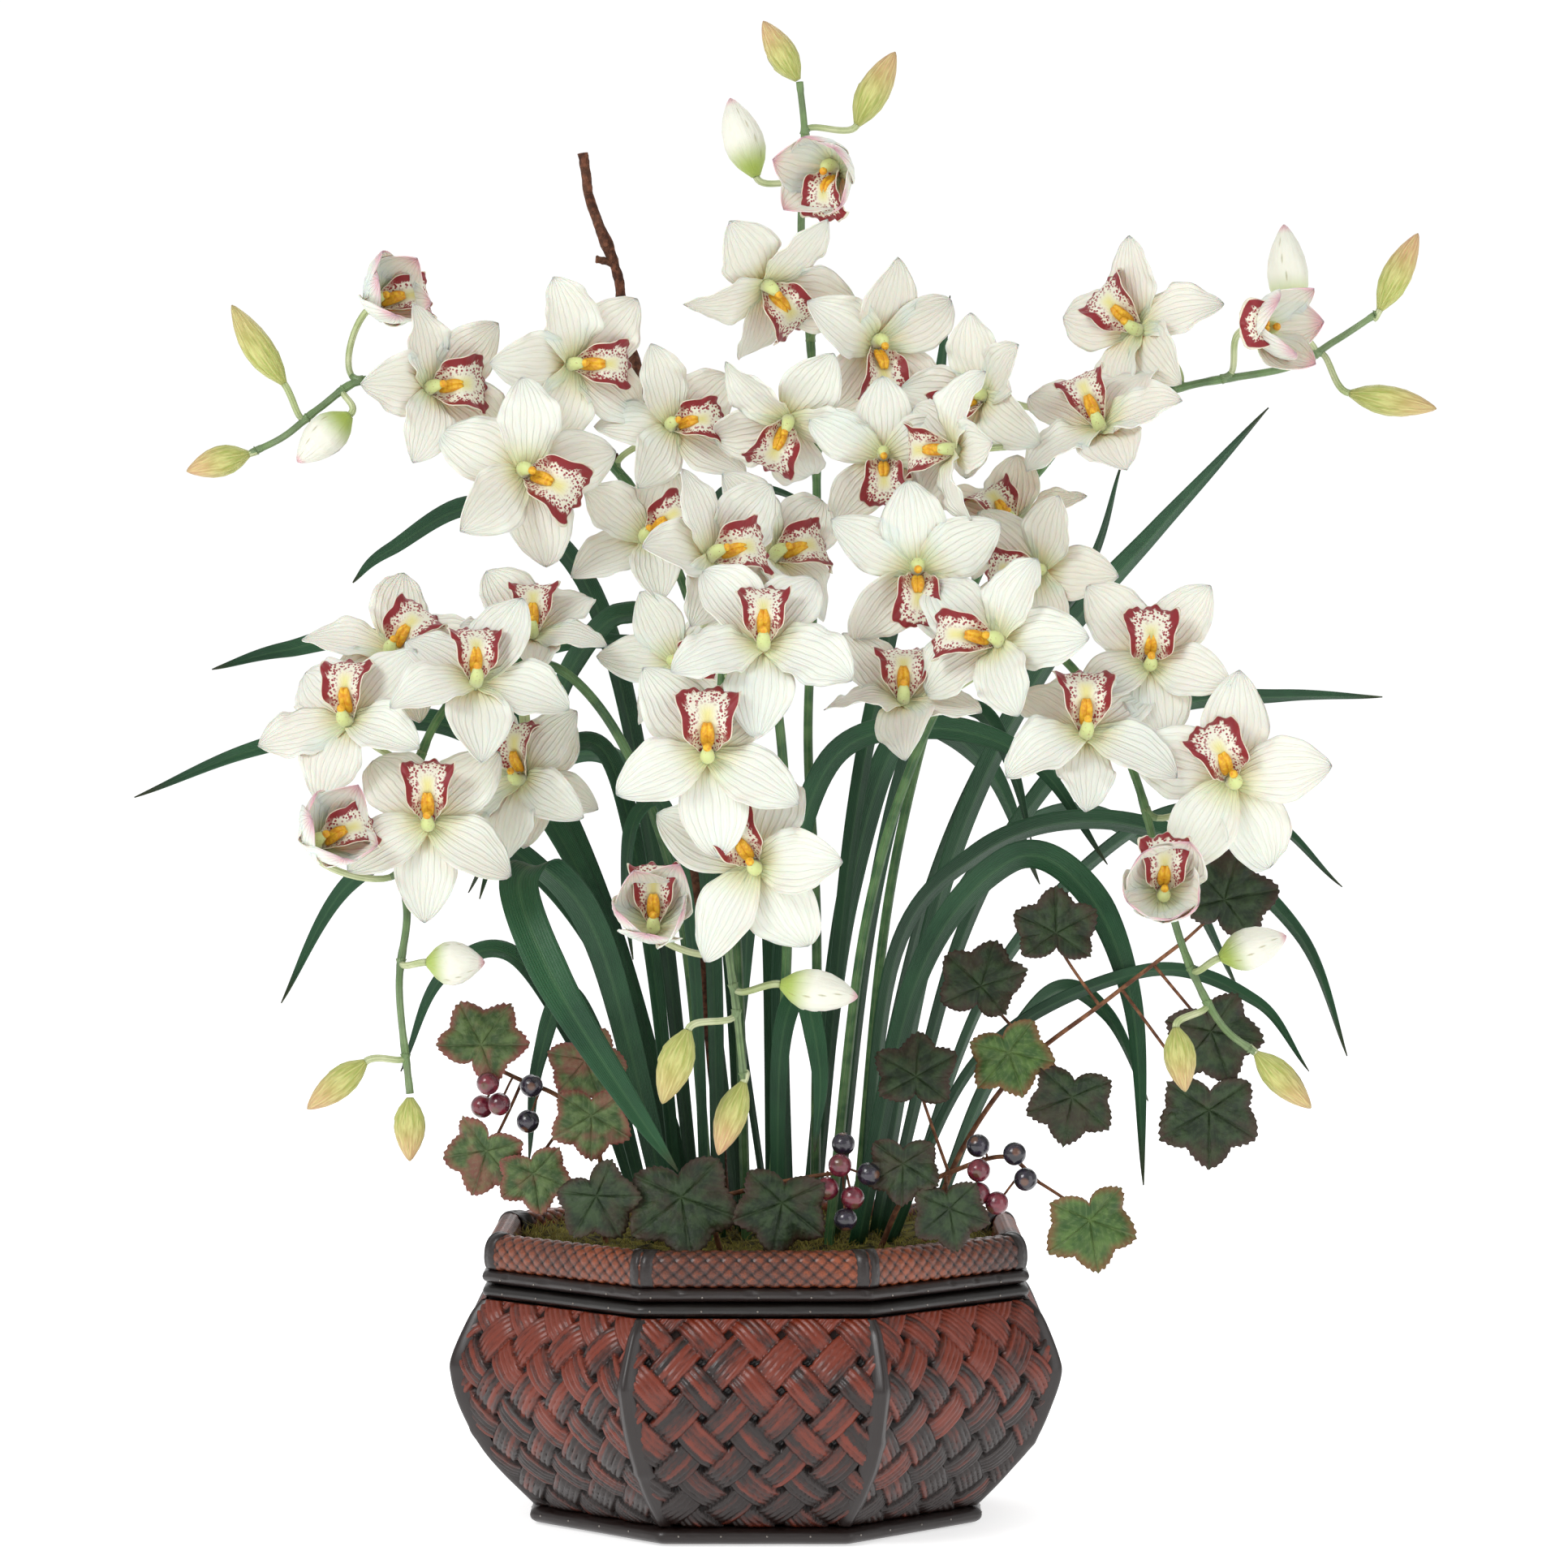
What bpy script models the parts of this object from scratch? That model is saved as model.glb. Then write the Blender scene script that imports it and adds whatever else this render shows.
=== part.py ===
"""Potted orchid: a woven octagonal basket planted with six arching cymbidium sprays, strap leaves,
a bare forked twig and four trailing vines with berries. Metres, +Z up, middle of the base at the origin."""

import math

import bpy
from mathutils import Matrix, Vector

for item in list(bpy.data.objects):
    bpy.data.objects.remove(item, do_unlink=True)

MM = 0.001
GAP = 0.0003
CORNERS = 8
CORNER_RATIO = 1 / math.cos(math.pi / CORNERS)

# Basket: (height, half the width across flats) up the bulging woven wall.
WALL_PROFILE = [
    (0.0103, 0.122), (0.030, 0.140), (0.048, 0.154), (0.069, 0.164),
    (0.0865, 0.169), (0.098, 0.168), (0.1195, 0.159), (0.1292, 0.152),
]
WALL_THICK = 0.004
FLOOR_TOP = 0.0143
NECK_HALF = 0.146
NECK_TOP = 0.1465
NECK_BOTTOM_INSIDE = 0.1262
BASE_BOARD_THICK = 0.006
BASE_ROD_HALF = 0.129
BASE_ROD_WIDE = 0.010
RIB_WIDE = 0.014
RIB_THICK = 0.004
COLLAR_BOTTOM = 0.1296
COLLAR_HIGH = 0.0083
ROD_WIDE = 0.009
BAND_OUTER = 0.1535
BAND_INNER = 0.1392
BAND_TOP = 0.166

# Filling.
LINER_THICK = 0.0015
LINER_TOP = 0.1440
FOAM_TOP = 0.128
MOSS_TOP = 0.155
MOSS_HALF = 0.1385
STEM_FOOT = 0.105
HOLE_RADIUS = 0.0042

# Flowers and buds.
TEPAL_LONG = 0.055
TEPAL_HALF_WIDE = 0.0165
TEPAL_THICK = 0.0016
TEPAL_ANGLES = [90, 152, 230, 310, 28]
STEM_RADIUS = 0.0028
STEM_TIP_RADIUS = 0.0017
STALK_RADIUS = 0.0015
LIP_SHAPE = [(0.011, 0.004, 0.006), (0.018, 0.015, 0.0075), (0.019, 0.026, 0.003)]
HALF_OPEN_SHAPE = [(-0.014, 0.003), (-0.002, 0.015), (0.014, 0.021), (0.030, 0.013)]

# Strap leaves.
LEAF_THICK = 0.0016

# Vines.
VINE_RADIUS = 0.0014
VINE_LEAF_THICK = 0.0012
BERRY_RADIUS = 0.0063


def material(name, colour, roughness):
    made = bpy.data.materials.new(name)
    made.use_nodes = True
    shader = made.node_tree.nodes["Principled BSDF"]
    shader.inputs["Base Color"].default_value = (*colour, 1)
    shader.inputs["Roughness"].default_value = roughness
    shader.inputs["Metallic"].default_value = 0
    made.diffuse_color = (*colour, 1)
    return made


def facing_outwards(points, faces):
    """Turns a closed skin's faces round when they point inwards."""
    volume = 0
    for face in faces:
        first = Vector(points[face[0]])
        for here, after in zip(face[1:], face[2:]):
            volume += first.dot(Vector(points[here]).cross(Vector(points[after])))
    if volume < 0:
        return [tuple(reversed(face)) for face in faces]
    return faces


def add_object(name, shape, colour, roughness, smooth=True):
    points, faces = shape
    faces = facing_outwards(points, faces)
    mesh = bpy.data.meshes.new(name)
    mesh.from_pydata([tuple(point) for point in points], [], faces)
    mesh.materials.append(material(name + "_material", colour, roughness))
    for face in mesh.polygons:
        face.use_smooth = smooth
    made = bpy.data.objects.new(name, mesh)
    bpy.context.scene.collection.objects.link(made)
    return made


def loft(sections, loop=False):
    """Joins equal rings of points into one closed skin. The first and last ring are capped unless it loops."""
    size = len(sections[0])
    points = [point for section in sections for point in section]
    faces = []
    last = len(sections) if loop else len(sections) - 1
    for row in range(last):
        here = row * size
        there = (row + 1) % len(sections) * size
        for side in range(size):
            after = (side + 1) % size
            faces.append((here + side, here + after, there + after, there + side))
    if not loop:
        faces.append(tuple(reversed(range(size))))
        faces.append(tuple(range(len(points) - size, len(points))))
    return points, faces


def smooth_path(places, steps):
    """Points evenly spread in number along a smooth curve through the given places."""
    places = [Vector(place) for place in places]
    padded = [2 * places[0] - places[1]] + places + [2 * places[-1] - places[-2]]
    spans = len(places) - 1
    path = []
    for step in range(steps + 1):
        along = min(step * spans / steps, spans - 1e-6)
        span = int(along)
        part = along - span
        a, b, c, d = padded[span:span + 4]
        bend = 2 * a - 5 * b + 4 * c - d
        twist = 3 * b - 3 * c + d - a
        path.append((2 * b + (c - a) * part + bend * part ** 2 + twist * part ** 3) / 2)
    return path


def rooted_path(places, steps):
    """A straight foot down into the foam, then a smooth curve through the other places."""
    places = [Vector(place) * MM for place in places]
    return places[:1] + smooth_path(places[1:], steps)


def directions(path):
    found = []
    for index in range(len(path)):
        before = path[max(index - 1, 0)]
        after = path[min(index + 1, len(path) - 1)]
        found.append((after - before).normalized())
    return found


def tube(path, radii, sides):
    """A round rod along the path, with one radius for each point."""
    sections = []
    across = Vector((0.31, 0.95, 0.12))
    for point, forward, radius in zip(path, directions(path), radii):
        across = (across - across.dot(forward) * forward).normalized()
        other = forward.cross(across)
        ring = []
        for side in range(sides):
            angle = side * math.tau / sides
            ring.append(point + radius * (math.cos(angle) * across + math.sin(angle) * other))
        sections.append(ring)
    return loft(sections)


def tapered(start, end, count):
    return [start + (end - start) * index / (count - 1) for index in range(count)]


def octagon(half_wide, height):
    radius = half_wide * CORNER_RATIO
    ring = []
    for corner in range(CORNERS):
        angle = (corner + 0.5) * math.tau / CORNERS
        ring.append(Vector((radius * math.cos(angle), radius * math.sin(angle), height)))
    return ring


def hidden_cylinder(name, x, y, radius, low, high):
    """A cutter: the hole one stem passes through."""
    rings = []
    for height in (low, high):
        ring = []
        for side in range(6):
            angle = side * math.tau / 6
            ring.append(Vector((x + radius * math.cos(angle), y + radius * math.sin(angle), height)))
        rings.append(ring)
    cutter = add_object(name, loft(rings), (0.5, 0.5, 0.5), 0.5)
    cutter.hide_render = True
    cutter.display_type = "WIRE"
    return cutter


def joined(name, shapes, colour, roughness):
    """Unites overlapping skins into one solid."""
    whole = add_object(name, shapes[0], colour, roughness)
    group = bpy.data.collections.new(name + "_pieces")
    bpy.context.scene.collection.children.link(group)
    for number, shape in enumerate(shapes[1:]):
        piece = add_object(f"{name}_piece_{number}", shape, colour, roughness)
        bpy.context.scene.collection.objects.unlink(piece)
        group.objects.link(piece)
        piece.hide_render = True
        piece.display_type = "WIRE"
    union = whole.modifiers.new("unite", "BOOLEAN")
    union.operation = "UNION"
    union.solver = "EXACT"
    union.operand_type = "COLLECTION"
    union.collection = group
    return whole


# ---- Basket -------------------------------------------------------------------------------------

add_object(
    "base_board",
    loft([octagon(BASE_ROD_HALF - BASE_ROD_WIDE - GAP, height) for height in (0, BASE_BOARD_THICK)]),
    (0.30, 0.16, 0.07), 0.6, False,
)

rod_middle = BASE_ROD_HALF - BASE_ROD_WIDE / 2
rod_rings = []
for inset, height in ((0.004, 0), (-0.004, 0), (-0.005, 0.005), (-0.003, 0.010), (0.003, 0.010),
    (0.005, 0.005)):
    rod_rings.append(octagon(rod_middle - inset, height))
add_object("base_rod", loft(rod_rings, True), (0.20, 0.03, 0.015), 0.3)

outer_rings = [octagon(half, height) for height, half in WALL_PROFILE]
neck_rings = [octagon(NECK_HALF, WALL_PROFILE[-1][0]), octagon(NECK_HALF, NECK_TOP)]
inner_rings = [octagon(NECK_HALF - WALL_THICK, NECK_TOP), octagon(NECK_HALF - WALL_THICK, NECK_BOTTOM_INSIDE)]
for height, half in reversed(WALL_PROFILE[1:-1]):
    inner_rings.append(octagon(half - WALL_THICK, height))
inner_rings.append(octagon(WALL_PROFILE[0][1] - WALL_THICK + 0.003, FLOOR_TOP))
add_object("pot_body", loft(outer_rings + neck_rings + inner_rings), (0.42, 0.13, 0.05), 0.4, False)

slope = math.tan(math.pi / CORNERS)
for corner in range(CORNERS):
    angle = (corner + 0.5) * math.tau / CORNERS
    outward = Vector((math.cos(angle), math.sin(angle), 0))
    sideways = Vector((-math.sin(angle), math.cos(angle), 0))
    sections = []
    for height, half in WALL_PROFILE:
        height = min(max(height, 0.0106), COLLAR_BOTTOM - 0.0006)
        start = half * CORNER_RATIO + 2.2 * GAP
        drop = RIB_WIDE / 2 * slope
        ring = []
        for depth, side in (
            (0, 0), (-drop, RIB_WIDE / 2), (-drop + RIB_THICK * 0.6, RIB_WIDE / 2),
            (RIB_THICK, 0), (-drop + RIB_THICK * 0.6, -RIB_WIDE / 2), (-drop, -RIB_WIDE / 2),
        ):
            ring.append(outward * (start + depth) + sideways * side + Vector((0, 0, height)))
        sections.append(ring)
    add_object(f"rib_{corner + 1}", loft(sections), (0.22, 0.05, 0.02), 0.25)


def ring_rod(name, bottom, high, inner, wide, colour):
    """A half-round rod bent once round the neck of the basket."""
    rings = []
    for across, up in ((0, 0), (0.75, 0), (1, 0.3), (1, 0.7), (0.75, 1), (0, 1)):
        rings.append(octagon(inner + across * wide, bottom + up * high))
    add_object(name, loft(rings, True), colour, 0.3)


ring_rod("collar_rod", COLLAR_BOTTOM, COLLAR_HIGH, NECK_HALF + GAP, ROD_WIDE, (0.12, 0.04, 0.02))
rim_rod_bottom = COLLAR_BOTTOM + COLLAR_HIGH + GAP
ring_rod("rim_rod", rim_rod_bottom, COLLAR_HIGH, NECK_HALF + GAP, ROD_WIDE, (0.25, 0.03, 0.015))

band_bottom = rim_rod_bottom + COLLAR_HIGH + GAP
band_rings = []
for across, up in ((0.25, 0), (0.9, 0), (1, 0.4), (0.93, 0.75), (0.7, 1), (0.3, 1), (0.08, 0.8),
    (0, 0.45), (0.1, 0.05)):
    half = BAND_INNER + across * (BAND_OUTER - BAND_INNER)
    band_rings.append(octagon(half, band_bottom + up * (BAND_TOP - band_bottom)))
add_object("rim_band", loft(band_rings, True), (0.45, 0.17, 0.06), 0.35)

# ---- Filling ------------------------------------------------------------------------------------

liner_low = FLOOR_TOP + GAP
liner_half_low = WALL_PROFILE[0][1] - WALL_THICK - 0.002
liner_half_high = NECK_HALF - WALL_THICK - GAP
add_object(
    "liner",
    loft([
        octagon(liner_half_low, liner_low),
        octagon(liner_half_high, LINER_TOP),
        octagon(liner_half_high - LINER_THICK, LINER_TOP),
        octagon(liner_half_low - LINER_THICK, liner_low + LINER_THICK),
    ]),
    (0.05, 0.05, 0.05), 0.5, False,
)


def liner_half(height):
    part = (height - liner_low) / (LINER_TOP - liner_low)
    return liner_half_low + part * (liner_half_high - liner_half_low) - LINER_THICK - 2 * GAP


foam_low = liner_low + LINER_THICK + GAP
foam = add_object(
    "foam_block",
    loft([octagon(liner_half(foam_low), foam_low), octagon(liner_half(FOAM_TOP), FOAM_TOP)]),
    (0.10, 0.22, 0.10), 0.9, False,
)

moss_rings = [octagon(MOSS_HALF - 0.006, FOAM_TOP + GAP), octagon(MOSS_HALF - 0.001, MOSS_TOP - 0.012)]
for level, (half, height) in enumerate(((0.134, MOSS_TOP - 0.002), (0.118, MOSS_TOP + 0.004),
    (0.096, MOSS_TOP))):
    ring = octagon(half, height)
    for corner, point in enumerate(ring):
        point.z += 0.0025 * math.sin(2.4 * corner + 1.7 * level) * (level < 2)
    moss_rings.append(ring)
moss = add_object("moss", loft(moss_rings), (0.25, 0.22, 0.07), 0.95)

# ---- Flower sprays ------------------------------------------------------------------------------

# Where each stem runs, in millimetres, from its foot in the foam to its last bud.
SPRAY_STEMS = {
    "spray_1": [
        (34, 18, 105), (34, 18, 160), (35, 20, 335), (30, 15, 450), (35, 5, 570), (32, -5, 665),
        (26, -8, 735), (28, -10, 790), (25, -10, 825),
    ],
    "spray_2": [
        (-6, 24, 105), (-6, 24, 160), (-12, 24, 335), (-22, 20, 450), (-42, 10, 535), (-75, 0, 595),
        (-115, -10, 630), (-160, -20, 640), (-195, -25, 645), (-225, -30, 652), (-250, -30, 636),
        (-270, -30, 620), (-290, -30, 610),
    ],
    "spray_3": [
        (58, 22, 105), (58, 22, 160), (76, 24, 345), (105, 22, 475), (135, 12, 555), (170, 0, 610),
        (200, -10, 635), (250, -20, 650), (305, -20, 660), (332, -20, 675), (355, -20, 690),
    ],
    "spray_4": [
        (-26, 0, 105), (-26, 0, 160), (-42, 0, 335), (-70, -20, 430), (-105, -48, 482), (-140, -76, 490),
        (-168, -98, 470), (-185, -113, 440), (-196, -128, 385), (-192, -134, 350), (-196, -138, 310),
        (-190, -140, 252),
    ],
    "spray_5": [
        (8, -22, 105), (8, -22, 160), (18, -12, 335), (14, -22, 450), (0, -60, 515), (-15, -105, 535),
        (-15, -148, 505), (-20, -162, 450), (-15, -168, 385), (-15, -168, 340), (-10, -165, 300),
        (-6, -160, 262),
    ],
    "spray_6": [
        (42, -20, 105), (42, -20, 160), (62, -22, 335), (92, -42, 440), (125, -78, 495), (160, -108, 500),
        (192, -128, 465), (210, -138, 425), (222, -143, 380), (236, -148, 330), (255, -150, 292),
        (275, -150, 275),
    ],
}

# Open flowers: middle in millimetres, facing to the right and up in degrees, turn of the lip from
# straight down towards the right in degrees, and size.
OPEN_FLOWERS = {
    "spray_1": [
        (5, -40, 705, 35, -25, 45, 1.0), (68, -34, 672, 20, -10, 0, 1.0),
        (18, -55, 628, -10, -35, -30, 0.95), (72, -72, 605, 0, 0, 0, 0.9),
    ],
    "spray_2": [
        (-185, -50, 645, 35, 10, 90, 1.0), (-105, -42, 660, 35, 0, 90, 1.0),
        (-130, -72, 597, 20, 0, 60, 1.05), (-48, -28, 625, 20, 15, 90, 0.9),
        (-62, -38, 560, 10, 30, 120, 0.9),
    ],
    "spray_3": [
        (220, -20, 682, -40, 15, -135, 1.0), (195, -66, 622, -25, 40, -150, 1.0),
        (129, -58, 640, -35, 0, -60, 0.9), (146, -40, 566, -20, 50, -135, 0.9),
        (112, -111, 608, -60, 0, -90, 0.9),
    ],
    "spray_4": [
        (-180, -132, 401, 0, 20, 180, 1.0), (-225, -116, 457, -15, 30, 180, 1.0),
        (-205, -70, 495, 10, 35, 135, 0.95), (-155, -124, 478, 10, 40, 180, 1.0),
        (-125, -80, 505, 0, 45, 180, 0.9), (-130, -85, 425, -30, 20, 180, 0.9),
        (-129, -45, 424, 0, 10, 180, 0.8),
    ],
    "spray_5": [
        (0, -190, 380, -10, 10, -150, 1.05), (-25, -202, 440, 0, 15, 180, 1.05),
        (5, -188, 498, 0, 35, 180, 1.0), (-24, -136, 547, 40, 20, 90, 1.0),
        (10, -90, 548, 40, 25, 90, 1.0), (-44, -72, 490, 0, 10, 90, 0.8),
    ],
    "spray_6": [
        (260, -154, 425, 0, 15, -150, 1.05), (180, -160, 450, 5, 35, 180, 1.0),
        (218, -126, 490, 0, 15, 180, 1.0), (160, -84, 542, -30, 0, -90, 0.9),
        (133, -150, 500, -30, 15, -90, 1.0), (90, -114, 540, 0, 0, 0, 1.0),
        (82, -124, 468, 0, 45, 180, 0.95),
    ],
}

# Half-open cupped flowers: middle, facing right and up.
HALF_OPEN = {
    "spray_1": (46, -46, 770, -30, -10),
    "spray_2": (-220, -24, 695, 40, 20),
    "spray_3": (282, -54, 680, 50, 0),
    "spray_4": (-240, -150, 388, 30, 30),
    "spray_5": (-55, -165, 345, 0, 30),
    "spray_6": (222, -170, 365, 0, 10),
}

# Buds: where the bud starts, where its tip is, and its largest radius, in millimetres.
BUDS = {
    "spray_1": [((0, -15, 770), (-15, -15, 815), 11), ((24, -10, 826), (4, -10, 860), 8),
        ((58, -12, 800), (80, -12, 842), 9)],
    "spray_2": [((-232, -35, 632), (-262, -36, 605), 11), ((-270, -30, 650), (-300, -30, 695), 8),
        ((-290, -30, 610), (-326, -30, 600), 8)],
    "spray_3": [((308, -20, 690), (303, -20, 742), 11), ((358, -20, 693), (380, -20, 737), 8),
        ((340, -25, 645), (390, -26, 636), 8)],
    "spray_4": [((-180, -150, 325), (-148, -152, 325), 11), ((-214, -145, 270), (-246, -146, 244), 8),
        ((-190, -140, 250), (-190, -142, 215), 8)],
    "spray_5": [((14, -185, 315), (56, -186, 308), 11), ((-36, -182, 290), (-50, -184, 250), 9),
        ((-6, -160, 260), (-20, -160, 220), 8)],
    "spray_6": [((254, -162, 328), (290, -165, 340), 11), ((230, -162, 290), (235, -165, 255), 8),
        ((275, -150, 275), (305, -152, 245), 8)],
}


def facing(x, y, z, right, up, turn):
    """Places a flower: local -Y is the way it faces, local -Z is where its lip points."""
    return (
        Matrix.Translation(Vector((x, y, z)) * MM)
        @ Matrix.Rotation(math.radians(right), 4, "Z")
        @ Matrix.Rotation(math.radians(-up), 4, "X")
        @ Matrix.Rotation(math.radians(-turn), 4, "Y")
    )


def nearest(path, target, first):
    """The point of the path closest to the target, leaving out its first points."""
    return path[min(range(first, len(path)), key=lambda index: (path[index] - target).length)]


def star_outline(size):
    """Once round the five spread tepals: two shoulders and a tip each, and the notch after it."""
    outline = []
    hub = []
    for number, angle in enumerate(TEPAL_ANGLES):
        long = TEPAL_LONG * size * (1.0, 0.95, 0.98, 0.98, 0.95)[number]
        half = TEPAL_HALF_WIDE * size
        bend = math.radians(angle)
        along = Vector((math.cos(bend), 0, math.sin(bend)))
        aside = Vector((math.sin(bend), 0, -math.cos(bend)))
        outline.append(along * 0.62 * long + aside * half + Vector((0, -0.004, 0)))
        outline.append(along * long + Vector((0, -0.001, 0)))
        outline.append(along * 0.62 * long - aside * half + Vector((0, -0.004, 0)))
        following = TEPAL_ANGLES[(number + 1) % len(TEPAL_ANGLES)]
        between = math.radians(angle + (following - angle) % 360 / 2)
        hub.append(Vector((math.cos(between), 0, math.sin(between))))
        outline.append(hub[-1] * 0.24 * long)
    return outline, hub


def flower(place, size, root):
    """One open flower as one skin: the star, the lip in front of it and the stalk back to the stem."""
    outline, hub = star_outline(size)
    count = len(outline)
    sides = len(hub)
    lift = Vector((0, TEPAL_THICK, 0))
    points = outline + [point + lift for point in outline]
    faces = []
    front = len(points)
    points += [direction * 0.0025 for direction in hub]
    back = len(points)
    points += [direction * 0.0022 + Vector((0, 0.0032, 0)) for direction in hub]
    for number in range(sides):
        shoulder = number * 4
        notch_before = (shoulder - 1) % count
        here = (number - 1) % sides
        for a, b, c in (
            ("hub_before", notch_before, shoulder), ("hub_before", shoulder, "hub"),
            ("hub", shoulder, shoulder + 2), (shoulder, shoulder + 1, shoulder + 2),
            ("hub", shoulder + 2, shoulder + 3),
        ):
            ends = {"hub_before": here, "hub": number}
            near = [front + ends[corner] if corner in ends else corner for corner in (a, b, c)]
            far = [back + ends[corner] if corner in ends else corner + count for corner in (a, b, c)]
            faces.append(tuple(near))
            faces.append(tuple(reversed(far)))
    for index in range(count):
        after = (index + 1) % count
        faces.append((index, count + index, count + after, after))
    start = front
    previous = Vector((0, 0, 0))
    for forward, drop, radius in LIP_SHAPE:
        middle = Vector((0, -forward, -drop)) * size
        along = (middle - previous).normalized()
        previous = middle
        upward = Vector((0, along.z, -along.y))
        for direction in hub:
            points.append(middle + radius * size * (direction.x * Vector((1, 0, 0)) + direction.z * upward))
        made = len(points) - sides
        for side in range(sides):
            after = (side + 1) % sides
            faces.append((start + side, start + after, made + after, made + side))
        start = made
    faces.append(tuple(range(start, start + sides)))
    points = [place @ point for point in points]
    behind = (place.to_3x3() @ Vector((0, 1, 0))).normalized()
    heart = place.to_translation()
    middle = heart + behind * 0.016 + (root - heart) * 0.25
    start = back
    turn = behind.rotation_difference((root - middle).normalized())
    half_turn = behind.rotation_difference((root - heart - behind * 0.003).normalized())
    for centre, bend in ((middle, half_turn), (root, turn)):
        for direction in hub:
            points.append(centre + STALK_RADIUS * (bend @ (place.to_3x3() @ direction)))
        made = len(points) - sides
        for side in range(sides):
            after = (side + 1) % sides
            faces.append((start + after, start + side, made + side, made + after))
        start = made
    faces.append(tuple(reversed(range(start, start + sides))))
    return points, faces


def stalk(root, heart, back, far, sides):
    """A thin stalk from the stem that swells into what it carries: far lists (place, radius)."""
    middle = back + (root - heart) * 0.25
    path = [root, middle] + [place for place, _ in far]
    return tube(path, [STALK_RADIUS] * 2 + [radius for _, radius in far], sides)


def bud(stem, start, tip, radius):
    """A stalk that ends in a closed, pointed bud. Places and radius are in millimetres."""
    start = Vector(start) * MM
    tip = Vector(tip) * MM
    far = []
    for part, swell in ((0, 0.3), (0.16, 0.72), (0.45, 1), (0.78, 0.72), (1, 0.12)):
        far.append((start.lerp(tip, part), radius * MM * swell))
    back = start.lerp(tip, -0.12)
    root = nearest(stem, back, 6)
    if (root - start).length < 0.012:
        return tube([root] + [place for place, _ in far], [STALK_RADIUS] + [swell for _, swell in far], 5)
    return stalk(root, start, back, far, 5)


def half_open(stem, place):
    far = [(place @ Vector((0, -along, 0)), radius) for along, radius in HALF_OPEN_SHAPE]
    back = place @ Vector((0, 0.020, 0))
    return stalk(nearest(stem, back, 6), place.to_translation(), back, far, 6)


def spray(name):
    stem = rooted_path(SPRAY_STEMS[name], 17)
    shapes = [tube(stem, tapered(STEM_RADIUS, STEM_TIP_RADIUS, len(stem)), 5)]
    for x, y, z, right, up, turn, size in OPEN_FLOWERS[name]:
        place = facing(x, y, z, right, up, turn)
        root = nearest(stem, place @ Vector((0, 0.022, 0)), 6)
        shapes.append(flower(place, size, root))
    x, y, z, right, up = HALF_OPEN[name]
    shapes.append(half_open(stem, facing(x, y, z, right, up, 0)))
    for start, tip, radius in BUDS[name]:
        shapes.append(bud(stem, start, tip, radius))
    return joined(name, shapes, (0.93, 0.90, 0.80), 0.5)


for name in SPRAY_STEMS:
    spray(name)

# ---- Strap leaves -------------------------------------------------------------------------------

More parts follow.
